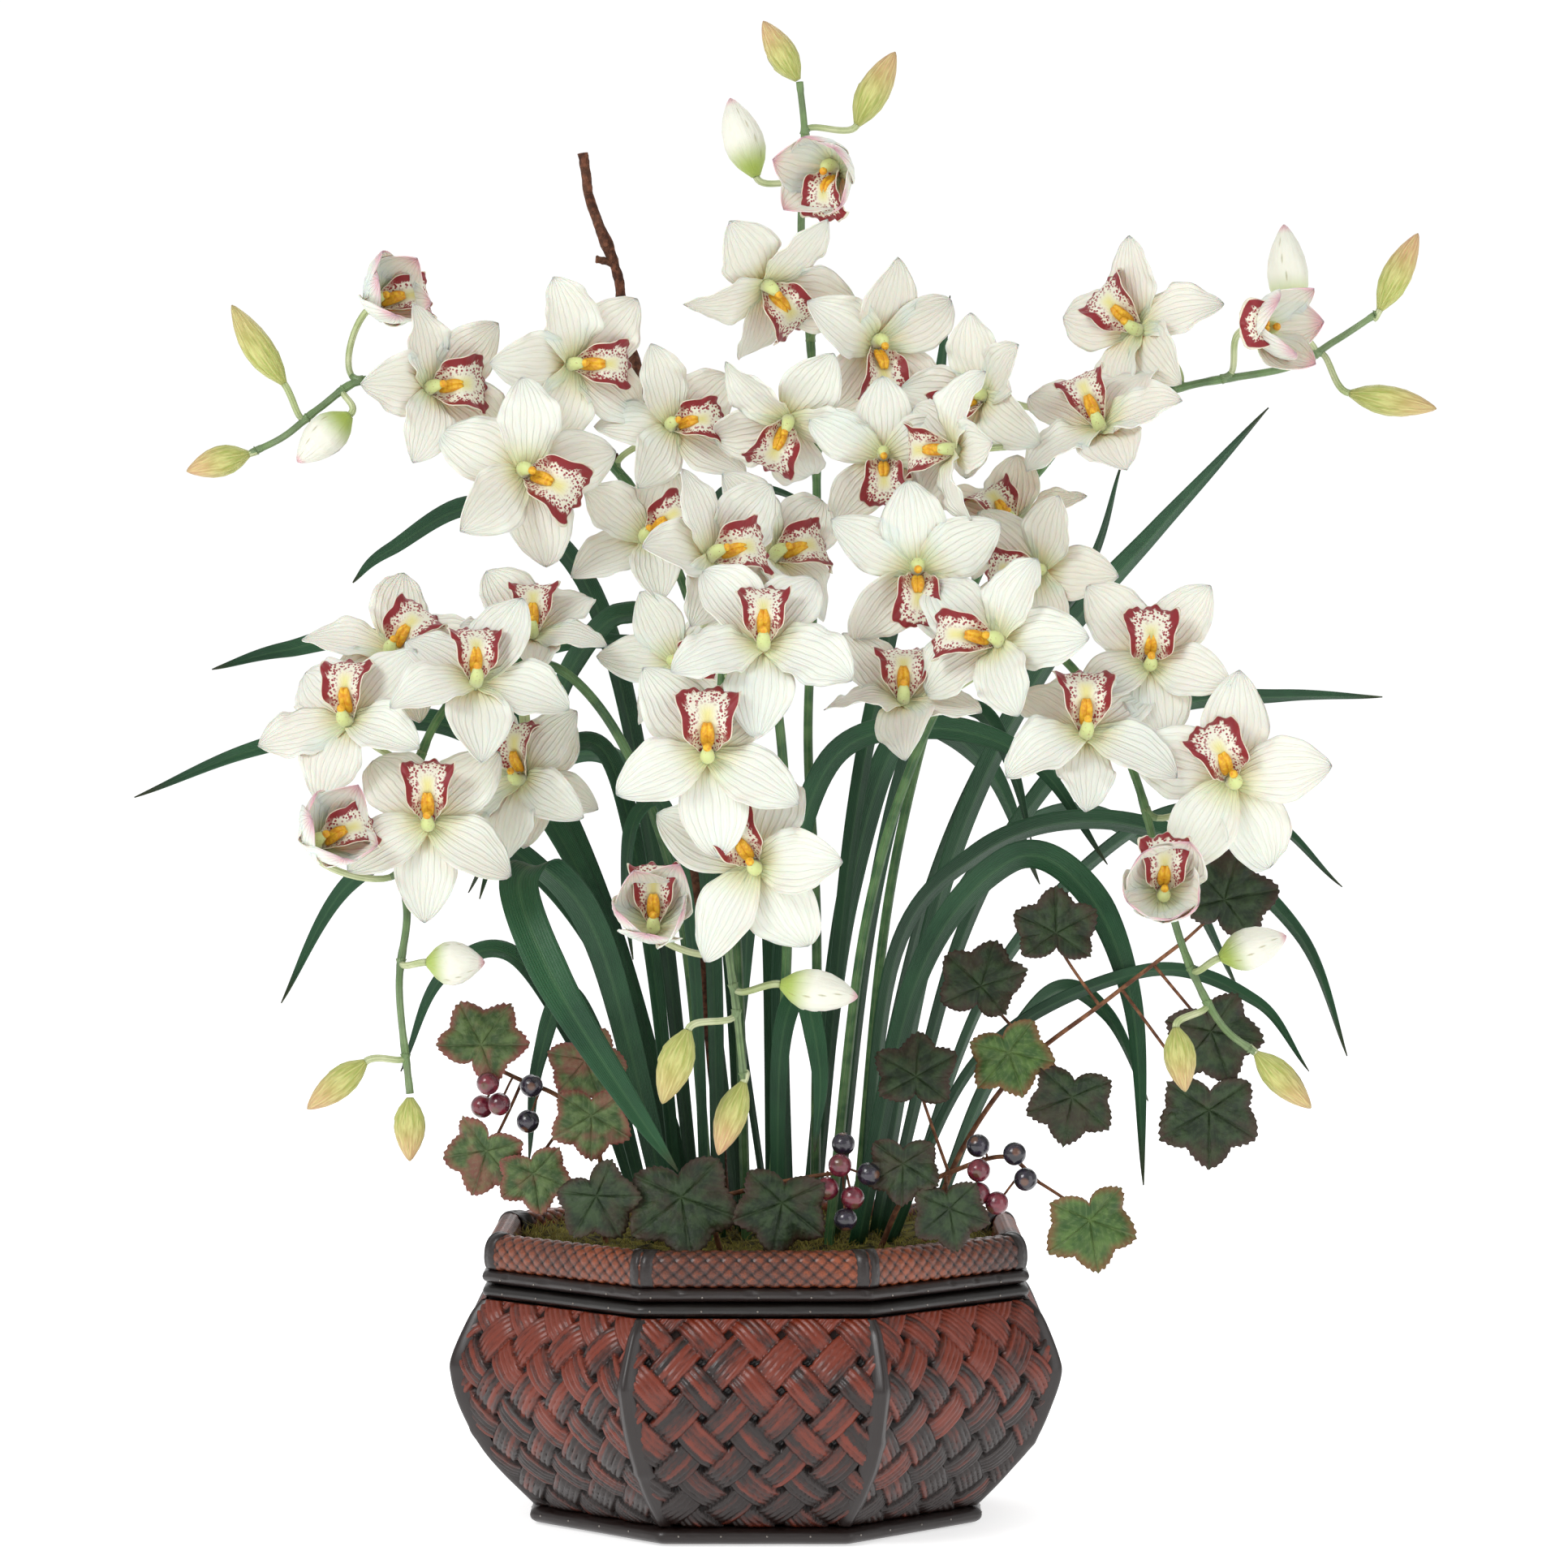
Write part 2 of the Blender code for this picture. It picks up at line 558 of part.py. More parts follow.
# Full width, then the places the middle of the leaf runs through, all in millimetres.
LEAVES = [
    (18, [(-36, 44, 156), (-62, 62, 380), (-100, 60, 535), (-160, 50, 582), (-215, 40, 557),
        (-237, 38, 538)]),
    (16, [(-34, 30, 156), (-88, 46, 340), (-150, 36, 462), (-225, 30, 503), (-275, 22, 498),
        (-317, 15, 487)]),
    (17, [(-42, 20, 156), (-85, 20, 325), (-145, 15, 432), (-210, 5, 458), (-290, -5, 440),
        (-359, -10, 413)]),
    (19, [(-22, 10, 156), (-28, 6, 350), (-50, -6, 495), (-78, -16, 517), (-105, -22, 488),
        (-118, -24, 445), (-119, -24, 403)]),
    (11, [(-8, 34, 156), (-20, 36, 350), (-48, 32, 482), (-85, 26, 503), (-125, 20, 497), (-157, 15, 479)]),
    (14, [(-44, -4, 156), (-62, -4, 330), (-84, -6, 432), (-112, -8, 440), (-144, -6, 400),
        (-160, -4, 354)]),
    (12, [(-30, -16, 156), (-36, -24, 320), (-52, -34, 405), (-68, -40, 402), (-74, -44, 365),
        (-70, -46, 321)]),
    (22, [(-46, -30, 156), (-85, -55, 320), (-116, -80, 372), (-132, -104, 365), (-112, -130, 315),
        (-70, -150, 250), (-42, -160, 211)]),
    (13, [(-58, -14, 156), (-84, -18, 250), (-108, -26, 300), (-124, -34, 262), (-130, -40, 205)]),
    (12, [(12, -44, 156), (14, -70, 270), (26, -98, 305), (36, -112, 262), (33, -118, 218)]),
    (16, [(18, 2, 156), (16, -2, 330), (42, -12, 432), (100, -20, 453), (160, -14, 433), (203, -6, 374)]),
    (13, [(46, 6, 156), (68, 2, 350), (96, 4, 452), (128, 6, 463), (148, 4, 430), (159, 0, 388)]),
    (17, [(62, -4, 156), (80, -10, 320), (128, -20, 380), (190, -30, 400), (255, -38, 383),
        (310, -44, 335), (337, -46, 266)]),
    (19, [(58, -34, 156), (92, -44, 310), (145, -55, 378), (186, -65, 362), (212, -72, 300),
        (219, -74, 195)]),
    (14, [(74, 14, 156), (120, 20, 330), (182, 20, 435), (245, 12, 466), (305, 8, 471), (363, 4, 471)]),
    (12, [(80, 2, 156), (140, 4, 310), (222, 2, 395), (290, -2, 402), (339, -4, 361)]),
    (9, [(76, -26, 156), (130, -50, 268), (220, -80, 316), (280, -92, 300), (310, -96, 261)]),
    (17, [(70, 34, 156), (110, 46, 360), (170, 50, 490), (235, 48, 568), (301, 46, 641)]),
    (10, [(56, 42, 156), (100, 60, 350), (160, 64, 480), (198, 64, 550), (217, 64, 612)]),
    (12, [(34, 40, 156), (55, 56, 380), (85, 60, 540), (105, 60, 640), (114, 58, 708)]),
    (8, [(8, 42, 156), (-26, 60, 400), (-28, 62, 570), (2, 62, 594), (47, 62, 576)]),
    (18, [(-10, 58, 156), (-40, 95, 340), (-85, 140, 430), (-140, 175, 420), (-180, 200, 350)]),
    (18, [(30, 62, 156), (55, 105, 350), (90, 150, 450), (140, 185, 430), (175, 205, 355)]),
    (17, [(10, 66, 156), (10, 110, 330), (5, 165, 400), (-5, 215, 350), (-10, 240, 260)]),
    (16, [(54, 58, 156), (110, 90, 330), (180, 120, 400), (250, 145, 370), (295, 160, 290)]),
    (16, [(-30, 62, 156), (-95, 90, 320), (-170, 105, 390), (-245, 125, 360), (-290, 140, 285)]),
    (13, [(98, -10, 156), (130, -20, 240), (168, -32, 300), (200, -38, 290), (224, -42, 240)]),
    (14, [(-62, 6, 156), (-96, 4, 250), (-140, -4, 320), (-180, -10, 310), (-205, -16, 255)]),
]


def leaf(number, wide, places):
    """A thin keeled strap that narrows at its foot and runs to a point."""
    path = smooth_path([Vector(place) * MM for place in places], 8)
    travel = path[-1] - path[0]
    sideways = abs(travel.x) > 0.8 * abs(travel.y)
    turn = math.radians(40 + 10 * math.sin(number * 2.1))
    frames = []
    before = Vector((1, 0, 0))
    for forward in directions(path):
        if not frames:
            forward = Vector((0, 0, 1))
            across = before
        elif sideways:
            flat = forward.cross(Vector((0, 1, 0))).normalized()
            across = math.cos(turn) * flat + math.sin(turn) * forward.cross(flat)
        else:
            across = Vector((1, 0, 0)) - forward.x * forward
        across = across.normalized()
        if across.dot(before) < 0:
            across.negate()
        before = across
        frames.append((across, across.cross(forward).normalized()))
    upward = 1 if sum(normal.z for _, normal in frames) > 0 else -1
    sections = []
    for step, (point, (across, normal)) in enumerate(zip(path, frames)):
        part = step / (len(path) - 1)
        narrowing = (0.55 + 0.45 * min(part / 0.35, 1)) * min(1, (1.03 - part) / 0.35) ** 0.8
        half = wide * MM / 2 * narrowing
        thick = LEAF_THICK / 2 * (0.3 + 0.7 * (1 - part))
        lifted = normal * 0.16 * half * upward
        sections.append([
            point - across * half + lifted, point - normal * thick,
            point + across * half + lifted, point + normal * thick,
        ])
    points, _ = loft(sections)
    faces = [(3, 2, 1, 0), tuple(range(len(points) - 4, len(points)))]
    for row in range(len(sections) - 1):
        here = row * 4
        there = here + 4
        # Each side splits from its edge to the next keel, front and back alike, so a twist can't cross them.
        for edge, keel in ((0, 1), (2, 3)):
            faces.append((here + edge, here + keel, there + keel))
            faces.append((here + edge, there + keel, there + edge))
        for edge, keel in ((2, 1), (0, 3)):
            faces.append((here + keel, here + edge, there + keel))
            faces.append((here + edge, there + edge, there + keel))
    add_object(f"leaf_{number:02d}", (points, faces), (0.06, 0.17, 0.05), 0.45)


for number, (wide, places) in enumerate(LEAVES, 1):
    leaf(number, wide, places)

# ---- Twigs --------------------------------------------------------------------------------------

TWIG = [
    (-18, 48, 105), (-18, 48, 160), (-40, 44, 405), (-58, 42, 545), (-66, 42, 640),
    (-78, 42, 690), (-82, 42, 720), (-97, 42, 760), (-102, 42, 790),
]
TWIG_FORK = [(-53, 43, 500), (-66, 26, 545), (-74, 12, 578), (-82, 6, 612)]
main = rooted_path(TWIG, 11)
fork = smooth_path([Vector(place) * MM for place in TWIG_FORK], 4)
joined(
    "twig",
    [tube(main, tapered(0.0030, 0.0016, len(main)), 6), tube(fork, tapered(0.0020, 0.0014, len(fork)), 5)],
    (0.20, 0.13, 0.08), 0.85,
)

# ---- Vines --------------------------------------------------------------------------------------

# Each vine: its stem, its leaves (middle, facing right and up, turn, size) and its berries.
VINES = {
    "vine_1": {
        "stem": [(-86, -40, 105), (-86, -40, 160), (-90, -56, 215), (-108, -66, 242),
            (-135, -68, 255), (-150, -66, 262)],
        "leaves": [
            (-152, -78, 278, -10, 20, 150, 20), (-95, -74, 262, 10, 15, 20, 19),
            (-92, -92, 232, 0, 0, 0, 19), (-152, -84, 212, -20, -10, -20, 19),
                (-124, -90, 200, 0, -10, 10, 17),
        ],
        "berries": [(-150, -92, 254), (-154, -80, 240), (-144, -88, 242), (-126, -84, 252),
            (-128, -84, 232)],
    },
    "vine_2": {
        "stem": [(-20, -92, 105), (-20, -92, 160), (-24, -100, 186), (-4, -108, 196), (30, -108, 203),
            (50, -110, 206)],
        "leaves": [(-40, -124, 188, -5, 10, 10, 24), (14, -126, 186, 5, 5, -10, 22),
            (-86, -118, 190, -15, 0, 30, 19)],
        "berries": [
            (47, -124, 211), (40, -122, 198), (54, -124, 193), (49, -114, 222), (63, -122, 206),
            (50, -126, 181),
        ],
    },
    "vine_3": {
        "stem": [(96, -40, 105), (96, -40, 160), (118, -56, 215), (150, -74, 262), (196, -92, 300),
            (240, -104, 335)],
        "leaves": [
            (128, -86, 312, -20, 20, 170, 21), (168, -96, 342, 0, 20, 180, 19),
                (262, -112, 362, 10, 15, 160, 24),
            (255, -112, 280, 5, 5, 20, 22), (252, -116, 236, 5, 0, 0, 23), (176, -104, 243, 0, 5, -10, 21),
            (143, -100, 268, -10, 10, 20, 19),
        ],
        "berries": [],
    },
    "vine_4": {
        "stem": [(70, -84, 105), (70, -84, 160), (84, -92, 190), (112, -100, 206), (140, -106, 214),
            (158, -106, 200)],
        "leaves": [
            (90, -98, 262, -10, 20, 180, 19), (186, -120, 176, 15, -5, 10, 22),
                (82, -122, 208, -10, 10, 0, 18),
            (108, -130, 184, 0, 0, 10, 18),
        ],
        "berries": [
            (124, -122, 208), (124, -122, 195), (134, -124, 190), (124, -114, 221), (144, -120, 217),
            (150, -122, 203),
        ],
    },
}
LEAF_OUTLINE = [(90, 1.0), (58, 0.66), (30, 0.98), (-4, 0.62), (-34, 0.80), (-90, 0.22), (214, 0.80),
    (184, 0.62), (150, 0.98), (122, 0.66)]


def vine_leaf(place, radius):
    """A thin lobed blade whose stalk joins at the notch."""
    outline = []
    for angle, reach in LEAF_OUTLINE:
        bend = math.radians(angle)
        cup = 0.003 if reach > 0.7 else -0.001
        outline.append(Vector((math.cos(bend) * reach * radius, cup, -math.sin(bend) * reach * radius)))
    count = len(outline)
    lift = Vector((0, VINE_LEAF_THICK, 0))
    centre = Vector((0, 0, -0.2 * radius))
    points = outline + [point + lift for point in outline] + [centre, centre + lift]
    faces = []
    for index in range(count):
        after = (index + 1) % count
        faces.append((2 * count, after, index))
        faces.append((2 * count + 1, count + index, count + after))
        faces.append((index, after, count + after, count + index))
    return [place @ point for point in points], faces


def berry(root, middle):
    """A short stalk that ends in a round berry."""
    along = (middle - root).normalized()
    far = []
    for part, swell in ((-0.92, 0.35), (-0.4, 0.92), (0.4, 0.92), (0.95, 0.3)):
        far.append((middle + along * part * BERRY_RADIUS, BERRY_RADIUS * swell))
    path = [root] + [place for place, _ in far]
    return tube(path, [VINE_RADIUS] + [radius for _, radius in far], 5)


for name, parts in VINES.items():
    stem = rooted_path(parts["stem"], 9)
    shapes = [tube(stem, [VINE_RADIUS * 1.3] * len(stem), 4)]
    for x, y, z, right, up, turn, radius in parts["leaves"]:
        place = facing(x, y, z, right, up, turn)
        shapes.append(vine_leaf(place, radius * MM))
        notch = place @ Vector((0.0019, 0.0006, 0.06 * radius * MM))
        back = place @ Vector((0.0019, 0.012, 0.3 * radius * MM))
        shapes.append(tube([nearest(stem, back, 3), back, notch], [VINE_RADIUS] * 3, 3))
    for place in parts["berries"]:
        middle = Vector(place) * MM
        shapes.append(berry(nearest(stem, middle, 3), middle))
    joined(name, shapes, (0.10, 0.17, 0.06), 0.5)

# ---- Holes for the stems ------------------------------------------------------------------------

holes = bpy.data.collections.new("stem_holes")
bpy.context.scene.collection.children.link(holes)
feet = [places[0] for places in SPRAY_STEMS.values()]
feet.append(TWIG[0])
feet += [parts["stem"][0] for parts in VINES.values()]
for number, (x, y, z) in enumerate(feet):
    cutter = hidden_cylinder(f"stem_hole_{number}", x * MM, y * MM, HOLE_RADIUS, STEM_FOOT - GAP, 0.2)
    bpy.context.scene.collection.objects.unlink(cutter)
    holes.objects.link(cutter)
for block in (foam, moss):
    cut = block.modifiers.new("stem_holes", "BOOLEAN")
    cut.operation = "DIFFERENCE"
    cut.solver = "EXACT"
    cut.operand_type = "COLLECTION"
    cut.collection = holes
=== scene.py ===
import math

import bpy
import numpy as np
from mathutils import Matrix, Vector, noise


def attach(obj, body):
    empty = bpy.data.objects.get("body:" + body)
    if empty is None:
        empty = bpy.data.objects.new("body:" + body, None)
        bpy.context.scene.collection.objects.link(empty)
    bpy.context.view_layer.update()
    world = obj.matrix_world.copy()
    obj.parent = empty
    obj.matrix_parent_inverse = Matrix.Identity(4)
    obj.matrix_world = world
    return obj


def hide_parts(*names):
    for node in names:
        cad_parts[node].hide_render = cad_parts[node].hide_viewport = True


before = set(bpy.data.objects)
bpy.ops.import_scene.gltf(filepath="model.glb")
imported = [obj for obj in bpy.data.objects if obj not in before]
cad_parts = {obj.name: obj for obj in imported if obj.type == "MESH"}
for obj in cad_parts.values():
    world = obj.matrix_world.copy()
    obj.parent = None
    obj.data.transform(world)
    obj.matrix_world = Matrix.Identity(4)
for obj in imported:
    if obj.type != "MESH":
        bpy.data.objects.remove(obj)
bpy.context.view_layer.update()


# ---- Studio ---------------------------------------------------------------------------------------
# A pale round floor much wider than the plant, a soft even sky, and three large soft lamps.
# The camera stands nearly level with the middle of the plant, a few paces in front of it.

camera = bpy.data.objects.new("camera", bpy.data.cameras.new("camera"))
bpy.context.scene.collection.objects.link(camera)
camera.location = (0.016, -2.80, 0.463)
camera.rotation_euler = (math.radians(90 - 0.87), 0, 0)
camera.data.sensor_width = 36
camera.data.lens = 111
bpy.context.scene.camera = camera
bpy.context.scene.view_settings.view_transform = "Standard"

floor_mesh = bpy.data.meshes.new("floor")
floor_ring = [(30 * math.cos(a), 30 * math.sin(a), -0.0005) for a in np.linspace(0, math.tau, 65)[:-1]]
floor_mesh.from_pydata(floor_ring, [], [tuple(range(64))])
floor = bpy.data.objects.new("floor", floor_mesh)
bpy.context.scene.collection.objects.link(floor)
floor_paint = bpy.data.materials.new("floor_paint")
floor_paint.use_nodes = True
floor_paint.node_tree.nodes["Principled BSDF"].inputs["Base Color"].default_value = (0.93, 0.93, 0.93, 1)
floor_paint.node_tree.nodes["Principled BSDF"].inputs["Roughness"].default_value = 0.8
floor_paint.node_tree.nodes["Principled BSDF"].inputs["Specular IOR Level"].default_value = 0.1
floor_paint.node_tree.nodes["Principled BSDF"].inputs["Emission Color"].default_value = (1, 1, 1, 1)
floor_paint.node_tree.nodes["Principled BSDF"].inputs["Emission Strength"].default_value = 0.62
floor_mesh.materials.append(floor_paint)

world = bpy.data.worlds.new("soft_sky")
bpy.context.scene.world = world
world.use_nodes = True
world.node_tree.nodes["Background"].inputs["Color"].default_value = (1, 1, 1, 1)
sky_path = world.node_tree.nodes.new("ShaderNodeLightPath")
sky_strength = world.node_tree.nodes.new("ShaderNodeMapRange")
sky_strength.inputs["To Min"].default_value = 0.56
sky_strength.inputs["To Max"].default_value = 1.05
world.node_tree.links.new(sky_path.outputs["Is Camera Ray"], sky_strength.inputs["Value"])
world.node_tree.links.new(
    sky_strength.outputs["Result"], world.node_tree.nodes["Background"].inputs["Strength"]
)

for lamp_name, place, size, power in (
    ("key_lamp", (-2.2, -2.6, 2.6), 1.5, 60), ("fill_lamp", (2.6, -2.2, 1.2), 2.0, 16),
    ("back_lamp", (0.6, 2.6, 2.8), 1.8, 24),
):
    lamp = bpy.data.lights.new(lamp_name, "AREA")
    lamp.size = size
    lamp.energy = power
    holder = bpy.data.objects.new(lamp_name, lamp)
    holder.location = place
    holder.rotation_euler = (Vector((0, 0, 0.40)) - Vector(place)).to_track_quat("-Z", "Y").to_euler()
    bpy.context.scene.collection.objects.link(holder)


# ---- Woven basket wall ----------------------------------------------------------------------------
# Eight bulging panels plaited on the slant: each band is four thin split reeds side by side, passing
# over and under the bands that cross it, stained red-brown and varnished, with painted shade darkening
# the gaps and low places and a painted highlight lightening the upper part of each panel.

def add_piece(
    name, points, faces, surfaces, uv=None, which=None, marks=None, smooth=True, slot=None, node=None
):
    """Makes one mesh object that belongs to the plant. uv and marks hold one value for each point."""
    mesh = bpy.data.meshes.new(name)
    mesh.from_pydata(np.asarray(points, dtype=float).tolist(), [], [tuple(face) for face in faces])
    for surface in surfaces:
        mesh.materials.append(surface)
    if which is not None:
        mesh.polygons.foreach_set("material_index", np.asarray(which, dtype=np.int32))
    mesh.polygons.foreach_set("use_smooth", np.full(len(mesh.polygons), smooth))
    if uv is not None:
        corners = np.empty(len(mesh.loops), dtype=np.int32)
        mesh.loops.foreach_get("vertex_index", corners)
        layer = mesh.uv_layers.new(name="UVMap")
        layer.data.foreach_set("uv", np.asarray(uv, dtype=np.float32)[corners].ravel())
    for label, values in (marks or {}).items():
        mark = mesh.attributes.new(label, "FLOAT", "POINT")
        mark.data.foreach_set("value", np.asarray(values, dtype=np.float32))
    piece = bpy.data.objects.new(name, mesh)
    bpy.context.scene.collection.objects.link(piece)
    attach(piece, "root")
    if node:
        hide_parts(node)
    return piece


def grid_faces(rows, columns, wrap=False, start=0, flip=False):
    """Quads between neighbouring rows of a grid of points. With wrap the last column meets the first."""
    faces = []
    for row in range(rows - 1):
        for column in range(columns if wrap else columns - 1):
            after = (column + 1) % columns
            a = start + row * columns + column
            b = start + row * columns + after
            face = (a, b, b + columns, a + columns)
            faces.append(face[::-1] if flip else face)
    return faces


def new_material(name, roughness, coat=0.0, coat_roughness=0.2, specular=0.5, sheen=0.0, subsurface=0.0):
    surface = bpy.data.materials.new(name)
    surface.use_nodes = True
    shader = surface.node_tree.nodes["Principled BSDF"]
    shader.inputs["Roughness"].default_value = roughness
    shader.inputs["Coat Weight"].default_value = coat
    shader.inputs["Coat Roughness"].default_value = coat_roughness
    shader.inputs["Specular IOR Level"].default_value = specular
    shader.inputs["Sheen Weight"].default_value = sheen
    shader.inputs["Subsurface Weight"].default_value = subsurface
    shader.inputs["Subsurface Scale"].default_value = 0.004
    return surface, surface.node_tree, shader


def wire(tree, source, target):
    """Links a socket, or sets a plain value."""
    if hasattr(source, "is_output"):
        tree.links.new(source, target)
    elif isinstance(source, tuple) and len(source) == 3 and target.type == "RGBA":
        target.default_value = (*source, 1)
    else:
        target.default_value = source


def mix(tree, factor, first, second):
    """A colour between first and second."""
    node = tree.nodes.new("ShaderNodeMix")
    node.data_type = "RGBA"
    wire(tree, factor, node.inputs[0])
    wire(tree, first, node.inputs[6])
    wire(tree, second, node.inputs[7])
    return node.outputs[2]


def maths(tree, operation, first, second=0.0, clamp=False):
    node = tree.nodes.new("ShaderNodeMath")
    node.operation = operation
    node.use_clamp = clamp
    wire(tree, first, node.inputs[0])
    wire(tree, second, node.inputs[1])
    return node.outputs[0]


def span(tree, value, low, high, to_low=0.0, to_high=1.0):
    """Rescales a value smoothly from low..high to to_low..to_high."""
    node = tree.nodes.new("ShaderNodeMapRange")
    node.interpolation_type = "SMOOTHSTEP"
    for socket, given in zip(node.inputs[:5], (value, low, high, to_low, to_high)):
        wire(tree, given, socket)
    return node.outputs[0]


def mark(tree, label):
    node = tree.nodes.new("ShaderNodeAttribute")
    node.attribute_name = label
    return node.outputs["Fac"]


def noise_of(tree, vector, scale, detail=4.0, stretch=None):
    """Noise between 0 and 1. stretch rescales the coordinates first."""
    if stretch:
        mapping = tree.nodes.new("ShaderNodeMapping")
        tree.links.new(vector, mapping.inputs["Vector"])
        mapping.inputs["Scale"].default_value = stretch
        vector = mapping.outputs["Vector"]
    node = tree.nodes.new("ShaderNodeTexNoise")
    tree.links.new(vector, node.inputs["Vector"])
    node.inputs["Scale"].default_value = scale
    node.inputs["Detail"].default_value = detail
    return node.outputs["Fac"]


def coordinates(tree, kind):
    return tree.nodes.new("ShaderNodeTexCoord").outputs[kind]


def raise_surface(tree, shader, height, distance, strength=1.0):
    node = tree.nodes.new("ShaderNodeBump")
    node.inputs["Distance"].default_value = distance
    node.inputs["Strength"].default_value = strength
    tree.links.new(height, node.inputs["Height"])
    tree.links.new(node.outputs["Normal"], shader.inputs["Normal"])


def new_group(name, inputs, outputs):
    group = bpy.data.node_groups.new(name, "ShaderNodeTree")
    for label, value in inputs:
        kind = "NodeSocketColor" if isinstance(value, tuple) else "NodeSocketFloat"
        socket = group.interface.new_socket(name=label, in_out="INPUT", socket_type=kind)
        socket.default_value = (*value, 1) if isinstance(value, tuple) else value
    for label, kind in outputs:
        group.interface.new_socket(name=label, in_out="OUTPUT", socket_type=kind)
    return group, group.nodes.new("NodeGroupInput"), group.nodes.new("NodeGroupOutput")


def place_group(tree, group, **values):
    node = tree.nodes.new("ShaderNodeGroup")
    node.node_tree = group
    for label, value in values.items():
        wire(tree, value, node.inputs[label.replace("_", " ")])
    return node


# Stained and rubbed cane: the low places and the gaps are darkened with painted shade, the high places
# wear to orange.
cane_stain_and_shade, stain_in, stain_out = new_group(
    "rubbed_stain_highlight_and_shade",
    [("Height", 0.5), ("Grain Across", 60.0), ("Grain Along", 3.0), ("Gap Colour", (0.01, 0.006, 0.005)),
     ("Stain Colour", (0.10, 0.02, 0.01)), ("Worn Colour", (0.45, 0.10, 0.02)), ("Wear", 0.5)],
    [("Color", "NodeSocketColor"), ("Roughness", "NodeSocketFloat"), ("Relief", "NodeSocketFloat")],
)
across_along = cane_stain_and_shade.nodes.new("ShaderNodeSeparateXYZ")
cane_stain_and_shade.links.new(coordinates(cane_stain_and_shade, "UV"), across_along.inputs[0])
stretched = cane_stain_and_shade.nodes.new("ShaderNodeCombineXYZ")
cane_stain_and_shade.links.new(
    maths(cane_stain_and_shade, "MULTIPLY", across_along.outputs[0], stain_in.outputs["Grain Across"]), stretched.inputs[0]
)
cane_stain_and_shade.links.new(
    maths(cane_stain_and_shade, "MULTIPLY", across_along.outputs[1], stain_in.outputs["Grain Along"]), stretched.inputs[1]
)
fine_streaks = noise_of(cane_stain_and_shade, stretched.outputs[0], 1.0, 5.0)
broad_streaks = noise_of(cane_stain_and_shade, stretched.outputs[0], 0.21, 3.0)
patches = noise_of(cane_stain_and_shade, coordinates(cane_stain_and_shade, "Object"), 16.0, 3.0)
# On the wall the wear input also carries a painted highlight that turns the upper panels more orange.
wear_and_highlight = maths(
    cane_stain_and_shade, "ADD", maths(cane_stain_and_shade, "MULTIPLY", fine_streaks, 0.9), maths(cane_stain_and_shade, "MULTIPLY", broad_streaks, 0.7)
)
wear_and_highlight = maths(cane_stain_and_shade, "ADD", wear_and_highlight, maths(cane_stain_and_shade, "MULTIPLY", patches, 1.1))
wear_and_highlight = maths(cane_stain_and_shade, "ADD", wear_and_highlight, maths(cane_stain_and_shade, "MULTIPLY", stain_in.outputs["Wear"], 1.2))
wear_and_highlight = maths(cane_stain_and_shade, "ADD", wear_and_highlight, maths(cane_stain_and_shade, "MULTIPLY", stain_in.outputs["Height"], 0.5))
wear_and_highlight = span(cane_stain_and_shade, wear_and_highlight, 1.85, 2.75)
rubbed_highlit_and_shaded = mix(cane_stain_and_shade, wear_and_highlight, stain_in.outputs["Stain Colour"], stain_in.outputs["Worn Colour"])
# Painted shade: the low places and the gaps between strands turn to the gap colour.
rubbed_highlit_and_shaded = mix(
    cane_stain_and_shade, span(cane_stain_and_shade, stain_in.outputs["Height"], 0.10, 0.48), stain_in.outputs["Gap Colour"], rubbed_highlit_and_shaded
)
cane_stain_and_shade.links.new(rubbed_highlit_and_shaded, stain_out.inputs["Color"])
cane_stain_and_shade.links.new(span(cane_stain_and_shade, fine_streaks, 0.2, 0.8, 0.30, 0.52), stain_out.inputs["Roughness"])
cane_stain_and_shade.links.new(fine_streaks, stain_out.inputs["Relief"])


def stained_cane(
    name, gap_shade, stained, worn_and_highlight_colour, wear, across, along, coat=0.5, use_height=True, relief=0.0004
):
    surface, tree, shader = new_material(name, 0.4, coat=coat, coat_roughness=0.22)
    tint = place_group(
        tree, cane_stain_and_shade, Gap_Colour=gap_shade, Stain_Colour=stained, Worn_Colour=worn_and_highlight_colour,
        Wear=mark(tree, "shade") if wear is None else wear, Grain_Across=across, Grain_Along=along,
        Height=mark(tree, "height") if use_height else 0.8,
    )
    tree.links.new(tint.outputs["Color"], shader.inputs["Base Color"])
    tree.links.new(tint.outputs["Roughness"], shader.inputs["Roughness"])
    raise_surface(tree, shader, tint.outputs["Relief"], relief)
    return surface


WALL_PROFILE = [
    (0.0103, 0.122), (0.030, 0.140), (0.048, 0.154), (0.069, 0.164),
    (0.0865, 0.169), (0.098, 0.168), (0.1195, 0.159), (0.1292, 0.152),
]
CORNERS = 8
HALF_TURN = math.pi / CORNERS
BAND_PITCH = 0.0215
BAND_SHARE = 0.80
REEDS_IN_BAND = 5
BAND_SLANT = math.radians(42)


def smooth_path(places, steps):
    """Points evenly spread in number along a smooth curve through the given places."""
    places = np.asarray(places, dtype=float)
    padded = np.vstack([2 * places[0] - places[1], places, 2 * places[-1] - places[-2]])
    along = np.clip(np.linspace(0, len(places) - 1, steps + 1), 0, len(places) - 1 - 1e-6)
    first = along.astype(int)
    part = (along - first)[:, None]
    a, b, c, d = (padded[first + offset] for offset in range(4))
    return (
        2 * b + (c - a) * part + (2 * a - 5 * b + 4 * c - d) * part ** 2 + (3 * b - 3 * c + d - a) * part ** 3
    ) / 2


